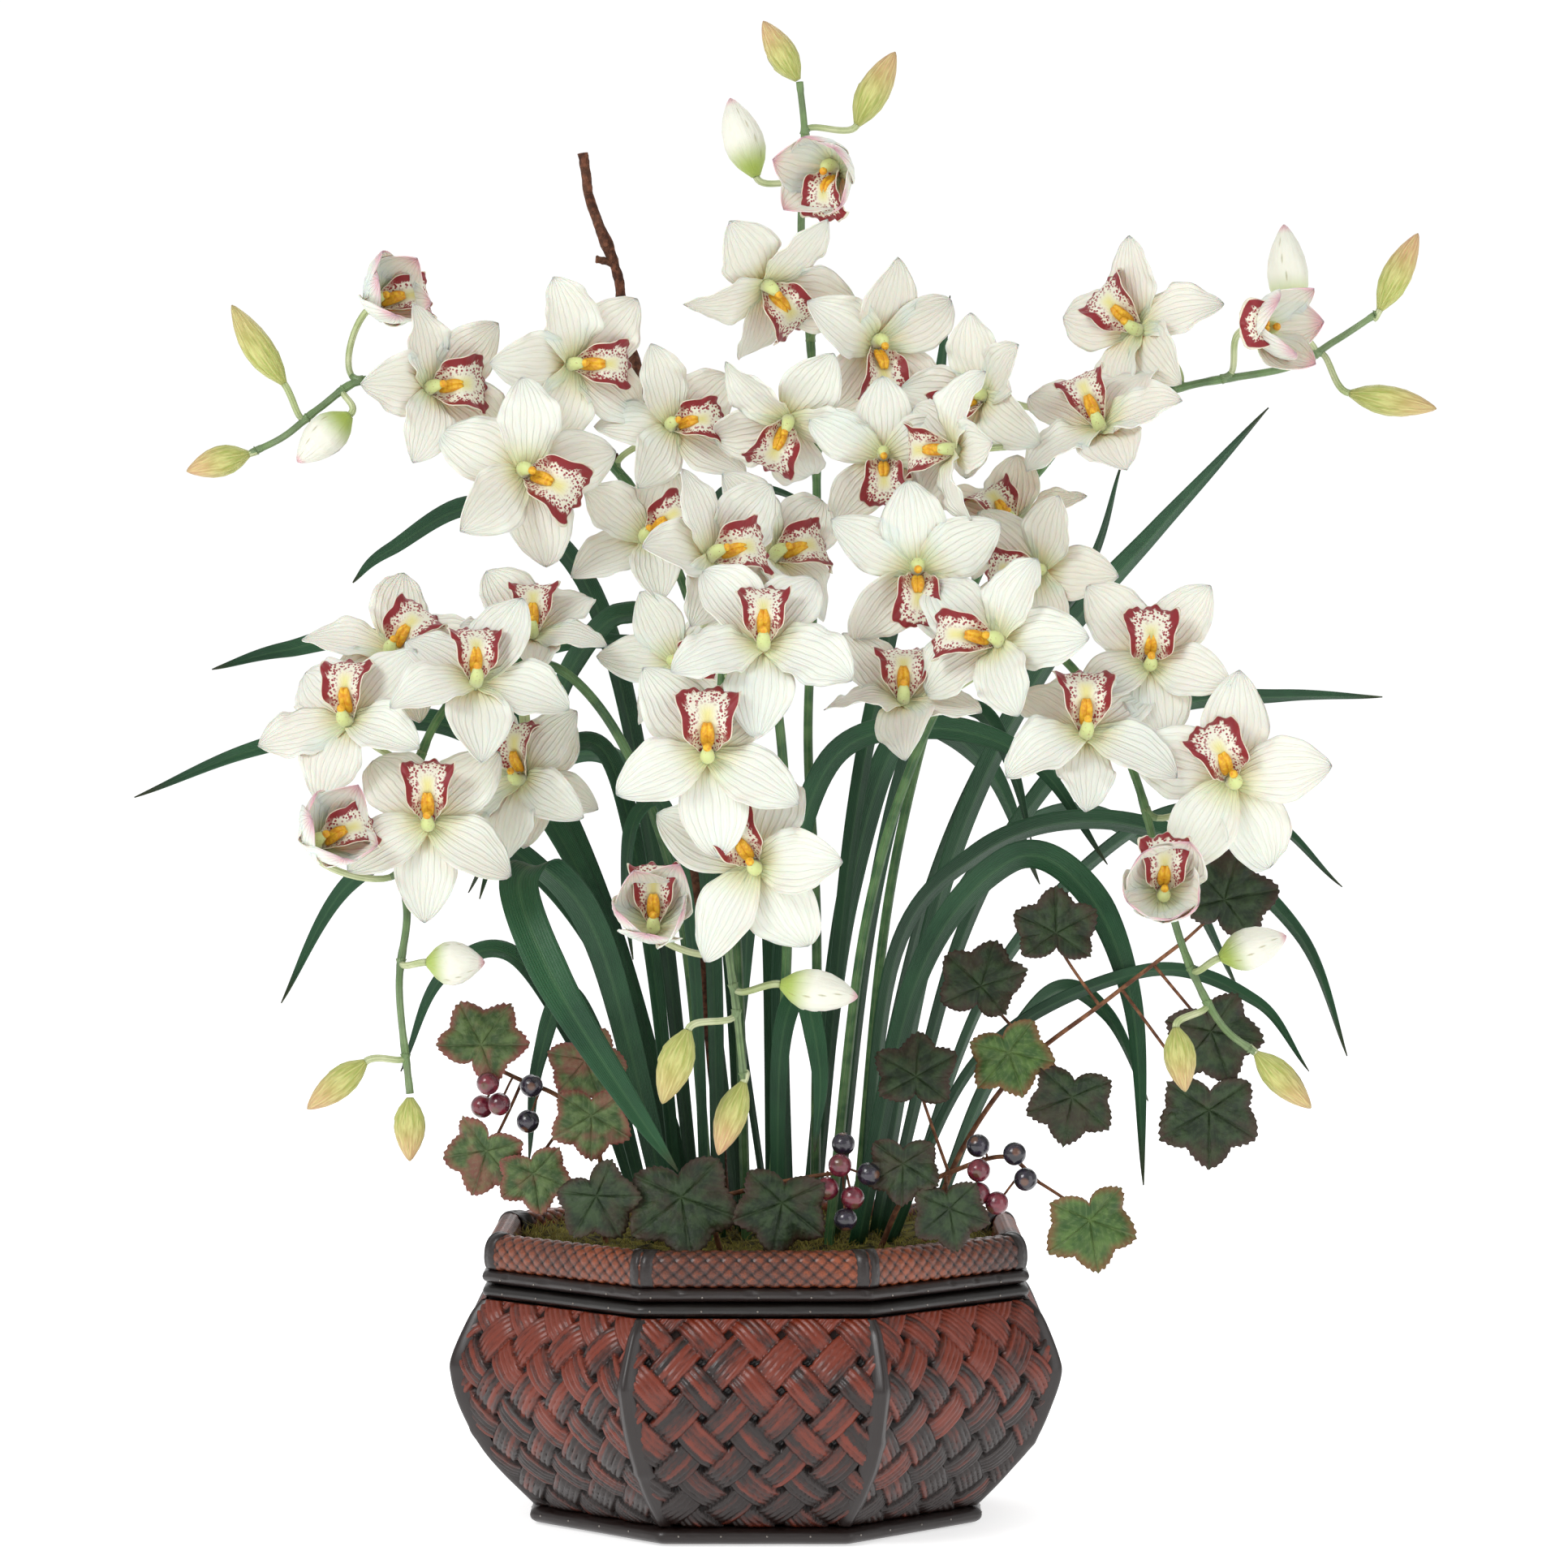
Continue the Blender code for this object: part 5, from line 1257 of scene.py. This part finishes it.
# Full width, then the places the middle of the leaf runs through, all in millimetres.
LEAVES = [
    (18, [(-36, 44, 156), (-62, 62, 380), (-100, 60, 535), (-160, 50, 582), (-215, 40, 557),
        (-237, 38, 538)]),
    (16, [(-34, 30, 156), (-88, 46, 340), (-150, 36, 462), (-225, 30, 503), (-275, 22, 498),
        (-317, 15, 487)]),
    (17, [(-42, 20, 156), (-85, 20, 325), (-145, 15, 432), (-210, 5, 458), (-290, -5, 440),
        (-359, -10, 413)]),
    (19, [(-22, 10, 156), (-28, 6, 350), (-50, -6, 495), (-78, -16, 517), (-105, -22, 488),
        (-118, -24, 445), (-119, -24, 403)]),
    (11, [(-8, 34, 156), (-20, 36, 350), (-48, 32, 482), (-85, 26, 503), (-125, 20, 497), (-157, 15, 479)]),
    (14, [(-44, -4, 156), (-62, -4, 330), (-84, -6, 432), (-112, -8, 440), (-144, -6, 400),
        (-160, -4, 354)]),
    (12, [(-30, -16, 156), (-36, -24, 320), (-52, -34, 405), (-68, -40, 402), (-74, -44, 365),
        (-70, -46, 321)]),
    (22, [(-46, -30, 156), (-85, -55, 320), (-116, -80, 372), (-132, -104, 365), (-112, -130, 315),
        (-70, -150, 250), (-42, -160, 211)]),
    (13, [(-58, -14, 156), (-84, -18, 250), (-108, -26, 300), (-124, -34, 262), (-130, -40, 205)]),
    (12, [(12, -44, 156), (14, -70, 270), (26, -98, 305), (36, -112, 262), (33, -118, 218)]),
    (16, [(18, 2, 156), (16, -2, 330), (42, -12, 432), (100, -20, 453), (160, -14, 433), (203, -6, 374)]),
    (13, [(46, 6, 156), (68, 2, 350), (96, 4, 452), (128, 6, 463), (148, 4, 430), (159, 0, 388)]),
    (17, [(62, -4, 156), (80, -10, 320), (128, -20, 380), (190, -30, 400), (255, -38, 383),
        (310, -44, 335), (337, -46, 266)]),
    (19, [(58, -34, 156), (92, -44, 310), (145, -55, 378), (186, -65, 362), (212, -72, 300),
        (219, -74, 195)]),
    (14, [(74, 14, 156), (120, 20, 330), (182, 20, 435), (245, 12, 466), (305, 8, 471), (363, 4, 471)]),
    (12, [(80, 2, 156), (140, 4, 310), (222, 2, 395), (290, -2, 402), (339, -4, 361)]),
    (9, [(76, -26, 156), (130, -50, 268), (220, -80, 316), (280, -92, 300), (310, -96, 261)]),
    (17, [(70, 34, 156), (110, 46, 360), (170, 50, 490), (235, 48, 568), (301, 46, 641)]),
    (10, [(56, 42, 156), (100, 60, 350), (160, 64, 480), (198, 64, 550), (217, 64, 612)]),
    (12, [(34, 40, 156), (55, 56, 380), (85, 60, 540), (105, 60, 640), (114, 58, 708)]),
    (8, [(8, 42, 156), (-26, 60, 400), (-28, 62, 570), (2, 62, 594), (47, 62, 576)]),
    (18, [(-10, 58, 156), (-40, 95, 340), (-85, 140, 430), (-140, 175, 420), (-180, 200, 350)]),
    (18, [(30, 62, 156), (55, 105, 350), (90, 150, 450), (140, 185, 430), (175, 205, 355)]),
    (17, [(10, 66, 156), (10, 110, 330), (5, 165, 400), (-5, 215, 350), (-10, 240, 260)]),
    (16, [(54, 58, 156), (110, 90, 330), (180, 120, 400), (250, 145, 370), (295, 160, 290)]),
    (16, [(-30, 62, 156), (-95, 90, 320), (-170, 105, 390), (-245, 125, 360), (-290, 140, 285)]),
    (13, [(98, -10, 156), (130, -20, 240), (168, -32, 300), (200, -38, 290), (224, -42, 240)]),
    (14, [(-62, 6, 156), (-96, 4, 250), (-140, -4, 320), (-180, -10, 310), (-205, -16, 255)]),
]

leaf_cloth, tree, shader = new_material("leaf_cloth", 0.42, specular=0.42)
leaf_lines = place_group(tree, veins, Count=15.0, Wander=0.01, Sharpness=0.1)
leaf_green = place_group(
    tree, mottle, Scale=22.0, Low=0.3, High=0.7, First=(0.008, 0.052, 0.022), Second=(0.020, 0.095, 0.036)
)
leaf_colour = mix(
    tree, maths(tree, "MULTIPLY", leaf_lines.outputs["Mask"], 0.35), leaf_green.outputs["Color"],
    (0.045, 0.14, 0.055)
)
leaf_colour = mix(tree, span(tree, mark(tree, "keel"), 0.80, 1.0, 0.0, 0.45), leaf_colour, (0.07, 0.17, 0.07))
leaf_colour = mix(
    tree, span(tree, mark(tree, "along"), 0.93, 1.0, 0.0, 0.6), leaf_colour, (0.07, 0.055, 0.02)
)
tree.links.new(leaf_colour, shader.inputs["Base Color"])
raise_surface(
    tree, shader, maths(tree, "ADD", leaf_lines.outputs["Mask"], leaf_lines.outputs["Streaks"]), 0.00025
)

for number, (wide, places) in enumerate(LEAVES, 1):
    rows, columns = ((72, 11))
    path = smooth_path(np.array(places, dtype=float) * MM, rows - 1)
    ahead = np.gradient(path, axis=0)
    ahead /= np.linalg.norm(ahead, axis=1)[:, None]
    travel = path[-1] - path[0]
    sideways = abs(travel[0]) > 0.8 * abs(travel[1])
    turn = math.radians(40 + 10 * math.sin(number * 2.1))
    crosswise = np.linspace(-1, 1, columns)
    points = []
    before = np.array((1.0, 0, 0))
    upward = 1 if travel[0] < 0 and sideways or travel[1] > 0 and not sideways else -1
    for row, (point, forward) in enumerate(zip(path, ahead)):
        part = row / (rows - 1)
        half = wide * MM / 2 * (0.55 + 0.45 * min(part / 0.35, 1)) * min(1, (1.003 - part) / 0.35) ** 0.75
        if sideways:
            flat = np.cross(forward, (0, 1, 0))
            flat /= np.linalg.norm(flat)
            across = math.cos(turn) * flat + math.sin(turn) * np.cross(forward, flat)
        else:
            across = np.array((1, 0, 0)) - forward[0] * forward
        across /= np.linalg.norm(across)
        if across.dot(before) < 0:
            across = -across
        before = across
        normal = upward * np.cross(across, forward)
        rise = half * (
            0.30 * np.abs(crosswise) ** 1.3 - 0.10 * crosswise ** 4
        ) + 0.0005 * np.sin(part * 21 + number) * np.abs(crosswise)
        points.append(point + (half * crosswise)[:, None] * across + rise[:, None] * normal)
    part = np.repeat(np.linspace(0, 1, rows), columns)
    uv = np.stack([np.tile(crosswise * 0.5, rows), part * 3], axis=-1)
    blade = add_piece(
        f"strap_leaf_{number:02d}", np.vstack(points), grid_faces(rows, columns), [leaf_cloth], uv,
        marks={"along": part, "keel": 1 - np.abs(np.tile(crosswise, rows))}, slot="strap_leaf",
        node=f"leaf_{number:02d}",
    )
    thick = blade.modifiers.new("cloth_thickness", "SOLIDIFY")
    thick.thickness = 0.0007
    thick.offset = 0


# ---- Twig -----------------------------------------------------------------------------------------
# A natural bare twig pushed into the foam: reddish-brown knobbly bark with pale lenticels, one side
# branch and a short broken stub near the top.

TWIG = [
    (-18, 48, 105), (-18, 48, 160), (-40, 44, 405), (-58, 42, 545), (-66, 42, 640),
    (-78, 42, 690), (-82, 42, 720), (-97, 42, 760), (-102, 42, 790),
]
TWIG_FORK = [(-53, 43, 500), (-66, 26, 545), (-74, 12, 578), (-82, 6, 612)]

bark, tree, shader = new_material("bark", 0.75, specular=0.25)
bark_tone = place_group(
    tree, mottle, Scale=260.0, Low=0.35, High=0.65, First=(0.045, 0.016, 0.009), Second=(0.17, 0.062, 0.033)
)
bark_patch = place_group(
    tree, mottle, Scale=45.0, Low=0.45, High=0.70, First=(0.0, 0.0, 0.0), Second=(1.0, 1.0, 1.0)
)
tree.links.new(
    mix(
        tree, maths(tree, "MULTIPLY", bark_patch.outputs["Mask"], 0.4), bark_tone.outputs["Color"],
        (0.24, 0.12, 0.07)
    ),
    shader.inputs["Base Color"],
)
raise_surface(tree, shader, bark_tone.outputs["Mask"], 0.0010)


def knobbly(path, start, end, sides, seed):
    radii = np.linspace(start, end, len(path))
    points, faces, uv, part = rod(path, radii, sides)
    centres = np.repeat(path, sides, axis=0)
    bumps = np.array([noise.fractal(Vector(tuple(point * 130 + seed)), 1.0, 2.0, 3) for point in points])
    knots = 0.25 * np.exp(-(((part * 9 + seed) % 1 - 0.5) / 0.12) ** 2)
    return centres + (points - centres) * (1 + 0.28 * bumps + knots)[:, None], faces, uv


main_twig = rooted_path(TWIG, 120)
bark_skins = Skins()
bark_skins.add(*knobbly(main_twig, 0.0032, 0.0030, 12, 0.2))
bark_skins.add(*knobbly(smooth_path(np.array(TWIG_FORK, dtype=float) * MM, 40), 0.0022, 0.0015, 10, 1.7))
stub_root = main_twig[nearest(main_twig, np.array((-0.083, 0.042, 0.725)), 20)]
bark_skins.add(
    *knobbly(
        bent(
            stub_root, np.array((-0.003, 0, 0.001)), stub_root + (-0.011, -0.002, 0.003),
            np.array((0.002, 0, 0)), 10
        ),
        0.0022, 0.0019, 10, 3.1
    )
)
bark_skins.build("bark_twig", [bark], slot="bark", node="twig")


# ---- Vines and berries ----------------------------------------------------------------------------
# Four trailing sprays of printed cloth vine leaves on brown wired stems: lobed, toothed and puckered
# between the veins, mottled green with rusty edges, with small clusters of shiny lacquered berries.

# Each vine: its stem, its leaves (middle, facing right and up, turn, size) and its berries.
VINES = {
    "vine_1": {
        "stem": [(-86, -40, 105), (-86, -40, 160), (-90, -56, 215), (-108, -66, 242),
            (-135, -68, 255), (-150, -66, 262)],
        "leaves": [
            (-152, -78, 278, -10, 20, 150, 20), (-95, -74, 262, 10, 15, 20, 19),
            (-92, -92, 232, 0, 0, 0, 19), (-152, -84, 212, -20, -10, -20, 19),
                (-124, -90, 200, 0, -10, 10, 17),
        ],
        "berries": [(-150, -92, 254), (-154, -80, 240), (-144, -88, 242), (-126, -84, 252),
            (-128, -84, 232)],
    },
    "vine_2": {
        "stem": [(-20, -92, 105), (-20, -92, 160), (-24, -100, 186), (-4, -108, 196), (30, -108, 203),
            (50, -110, 206)],
        "leaves": [(-40, -124, 188, -5, 10, 10, 24), (14, -126, 186, 5, 5, -10, 22),
            (-86, -118, 190, -15, 0, 30, 19)],
        "berries": [
            (47, -124, 211), (40, -122, 198), (54, -124, 193), (49, -114, 222), (63, -122, 206),
            (50, -126, 181),
        ],
    },
    "vine_3": {
        "stem": [(96, -40, 105), (96, -40, 160), (118, -56, 215), (150, -74, 262), (196, -92, 300),
            (240, -104, 335)],
        "leaves": [
            (128, -86, 312, -20, 20, 170, 21), (168, -96, 342, 0, 20, 180, 19),
                (262, -112, 362, 10, 15, 160, 24),
            (255, -112, 280, 5, 5, 20, 22), (252, -116, 236, 5, 0, 0, 23), (176, -104, 243, 0, 5, -10, 21),
            (143, -100, 268, -10, 10, 20, 19),
        ],
        "berries": [],
    },
    "vine_4": {
        "stem": [(70, -84, 105), (70, -84, 160), (84, -92, 190), (112, -100, 206), (140, -106, 214),
            (158, -106, 200)],
        "leaves": [
            (90, -98, 262, -10, 20, 180, 19), (186, -120, 176, 15, -5, 10, 22),
                (82, -122, 208, -10, 10, 0, 18),
            (108, -130, 184, 0, 0, 10, 18),
        ],
        "berries": [
            (124, -122, 208), (124, -122, 195), (134, -124, 190), (124, -114, 221), (144, -120, 217),
            (150, -122, 203),
        ],
    },
}
LEAF_OUTLINE = [(90, 1.0), (58, 0.66), (30, 0.98), (-4, 0.62), (-34, 0.80), (-90, 0.22), (214, 0.80),
    (184, 0.62), (150, 0.98), (122, 0.66)]

vine_bark, tree, shader = new_material("vine_bark", 0.6, specular=0.3)
vine_tone = place_group(
    tree, mottle, Scale=180.0, Low=0.35, High=0.65, First=(0.10, 0.035, 0.015), Second=(0.26, 0.11, 0.05)
)
tree.links.new(vine_tone.outputs["Color"], shader.inputs["Base Color"])
raise_surface(tree, shader, vine_tone.outputs["Mask"], 0.0005)


def vine_cloth(name, dark, light, patch, edge_colour, vein_colour, patch_amount):
    surface, tree, shader = new_material(name, 0.50, specular=0.35)
    tone = place_group(tree, mottle, Scale=140.0, Low=0.35, High=0.68, First=dark, Second=light)
    patches = place_group(
        tree, mottle, Scale=48.0, Low=0.48, High=0.66, First=(0.0, 0.0, 0.0), Second=(1.0, 1.0, 1.0)
    )
    colour = mix(
        tree, maths(tree, "MULTIPLY", patches.outputs["Mask"], patch_amount), tone.outputs["Color"], patch
    )
    colour = mix(tree, span(tree, mark(tree, "edge"), 0.72, 1.0, 0.0, 0.75), colour, edge_colour)
    colour = mix(tree, maths(tree, "MULTIPLY", mark(tree, "vein"), 0.55), colour, vein_colour)
    tree.links.new(colour, shader.inputs["Base Color"])
    raise_surface(tree, shader, tone.outputs["Mask"], 0.0006)
    return surface


vine_dark = vine_cloth(
    "vine_dark", (0.010, 0.022, 0.009), (0.032, 0.060, 0.022), (0.055, 0.030, 0.020), (0.05, 0.02, 0.015),
    (0.06, 0.09, 0.04), 0.5
)
vine_bright = vine_cloth(
    "vine_bright", (0.030, 0.080, 0.016), (0.085, 0.16, 0.035), (0.15, 0.19, 0.07), (0.20, 0.07, 0.03),
    (0.22, 0.30, 0.12), 0.4
)
vine_rusty = vine_cloth(
    "vine_rusty", (0.035, 0.075, 0.02), (0.11, 0.17, 0.055), (0.24, 0.07, 0.06), (0.25, 0.05, 0.05),
    (0.20, 0.24, 0.12), 0.7
)

LOBE_ANGLES = (90, 30, -34, 214, 150)


def vine_blade(radius, seed):
    """A lobed, toothed blade round the top of its leaf stalk, and marks for its veins and edge."""
    rings, spokes = ((15, 168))
    angle = np.linspace(-90, 270, spokes, endpoint=False)
    outline = sorted(LEAF_OUTLINE)
    outline_angles = [a - 360 if a > 270 else a for a, _ in outline]
    reach = np.interp(angle, outline_angles, [r for _, r in outline], period=360)
    nearest_lobe = np.min(np.abs((angle[:, None] - np.array(LOBE_ANGLES)[None, :] + 180) % 360 - 180), axis=1)
    reach = reach ** 0.72
    teeth = (
        0.055 * np.abs(((angle / 7.2 + 0.3 * seed) % 1) * 2 - 1) + 0.02 * np.abs(((angle / 2.9) % 1) * 2 - 1)
    )
    reach = reach * (0.97 + teeth) * 1.30
    part = np.linspace(0, 1, rings)[:, None]
    theta = np.radians(angle)[None, :]
    length = part * reach[None, :] * radius
    off_vein = np.sin(np.radians(nearest_lobe))[None, :] * length / radius
    vein = np.exp(-((off_vein / 0.022) ** 2))
    side_veins = np.exp(
        -(
            (
                (
                    (length * np.cos(np.radians(nearest_lobe))[None, :] / radius - off_vein * 0.7) * 5.5 % 1
                    - 0.5
                ) / 0.10
            ) ** 2
        )
    ) * 0.6
    rise = 0.05 * radius * np.sin(off_vein * 9) - 0.035 * radius * np.maximum(vein, side_veins * 0.5)
    rise = (
        rise + 0.16 * radius * part ** 2 * np.sin(theta * 2 + seed)
        + 0.06 * radius * part ** 3 * np.sin(theta * 5 + seed * 2) + 0.05 * radius
    )
    points = np.stack(np.broadcast_arrays(length * np.cos(theta), -rise, -length * np.sin(theta)), axis=-1)
    points[..., 2] += 0.20 * radius
    shape = (rings, spokes)
    uv = np.stack(
        np.broadcast_arrays(length * np.cos(theta) / radius, length * np.sin(theta) / radius), axis=-1
    )
    marks = {
        "vein": np.maximum(vein, side_veins * (part > 0.12)).ravel(),
        "edge": np.broadcast_to(part, shape).ravel()
    }
    return points.reshape(-1, 3), grid_faces(rings, spokes, wrap=True), uv.reshape(-1, 2), marks


berry_skins = {}
for berry_name, dark, light in (
    ("berry_red", (0.085, 0.008, 0.020), (0.20, 0.018, 0.035)),
    ("berry_black", (0.008, 0.008, 0.014), (0.028, 0.020, 0.040))
):
    surface, tree, shader = new_material(berry_name, 0.22, coat=0.8, coat_roughness=0.1)
    bloom = place_group(tree, mottle, Scale=220.0, Low=0.35, High=0.70, First=dark, Second=light)
    tree.links.new(
        mix(tree, mark(tree, "scar"), bloom.outputs["Color"], (0.12, 0.05, 0.03)), shader.inputs["Base Color"]
    )
    raise_surface(tree, shader, bloom.outputs["Mask"], 0.0002)
    berry_skins[berry_name] = surface

for vine_number, (name, parts) in enumerate(VINES.items(), 1):
    path = rooted_path(parts["stem"], 60)
    skins = Skins()
    skins.add(*rod(path, np.linspace(0.0017, 0.0011, len(path)), 8)[:3])
    for number, (x, y, z, right, up, turn, radius) in enumerate(parts["leaves"], 1):
        chance = np.random.default_rng(vine_number * 100 + number)
        place = facing(x, y, z, right, up, turn)
        notch = put(place, (0, 0.0005, 0.2 * radius * MM))
        back = put(place, (0, 0.012, 0.4 * radius * MM))
        root = path[nearest(path, back, 20)]
        skins.add(
            *rod(
                bent(root, (back - root) * 0.5, notch, (back - notch) * 0.9, 14),
                np.linspace(0.0010, 0.0008, 14), 7
            )[:3]
        )
        points, faces, uv, marks = vine_blade(radius * MM * chance.uniform(1.0, 1.12), chance.uniform(0, 6))
        if name == "vine_4" and number == 2:
            cloth = vine_bright
        elif name == "vine_1":
            cloth = vine_rusty
        elif name == "vine_3" and number == 7:
            cloth = vine_bright
        else:
            cloth = vine_dark
        blade = add_piece(
            f"{name}_blade_{number}", put(place, points), faces, [cloth], uv, marks=marks, slot="vine",
            node=name
        )
        thick = blade.modifiers.new("cloth_thickness", "SOLIDIFY")
        thick.thickness = 0.0005
        thick.offset = 0
    berry_radius = 0.0065
    berry_stalk_radius = 0.0007
    for number, middle in enumerate(parts["berries"], 1):
        middle = np.array(middle) * MM
        root = path[nearest(path, middle, 20)]
        way = (middle - root) / np.linalg.norm(middle - root)
        skins.add(
            *rod(
                bent(root, np.array((0, 0, 0.004)), middle - way * 0.0055, -way * 0.003, 10),
                berry_stalk_radius, 7
            )[:3]
        )
        turn = np.linspace(0.06, math.pi - 0.06, 17)
        squat = 1 + 0.02 * math.sin(number * 3)
        points, faces, uv, part = rod(
            middle + np.outer(-np.cos(turn), way) * berry_radius * squat,
            berry_radius * np.sin(turn) * (1 - 0.12 * (turn > 2.9)), 22
        )
        is_red = number <= 3
        add_piece(
            f"{name}_berry_{number}", points, faces, [berry_skins["berry_red" if is_red else "berry_black"]],
            uv,
            marks={"scar": (part > 0.985).astype(float)}, slot="vine", node=name,
        )
    skins.build(f"{name}_stem", [vine_bark], slot="vine", node=name)
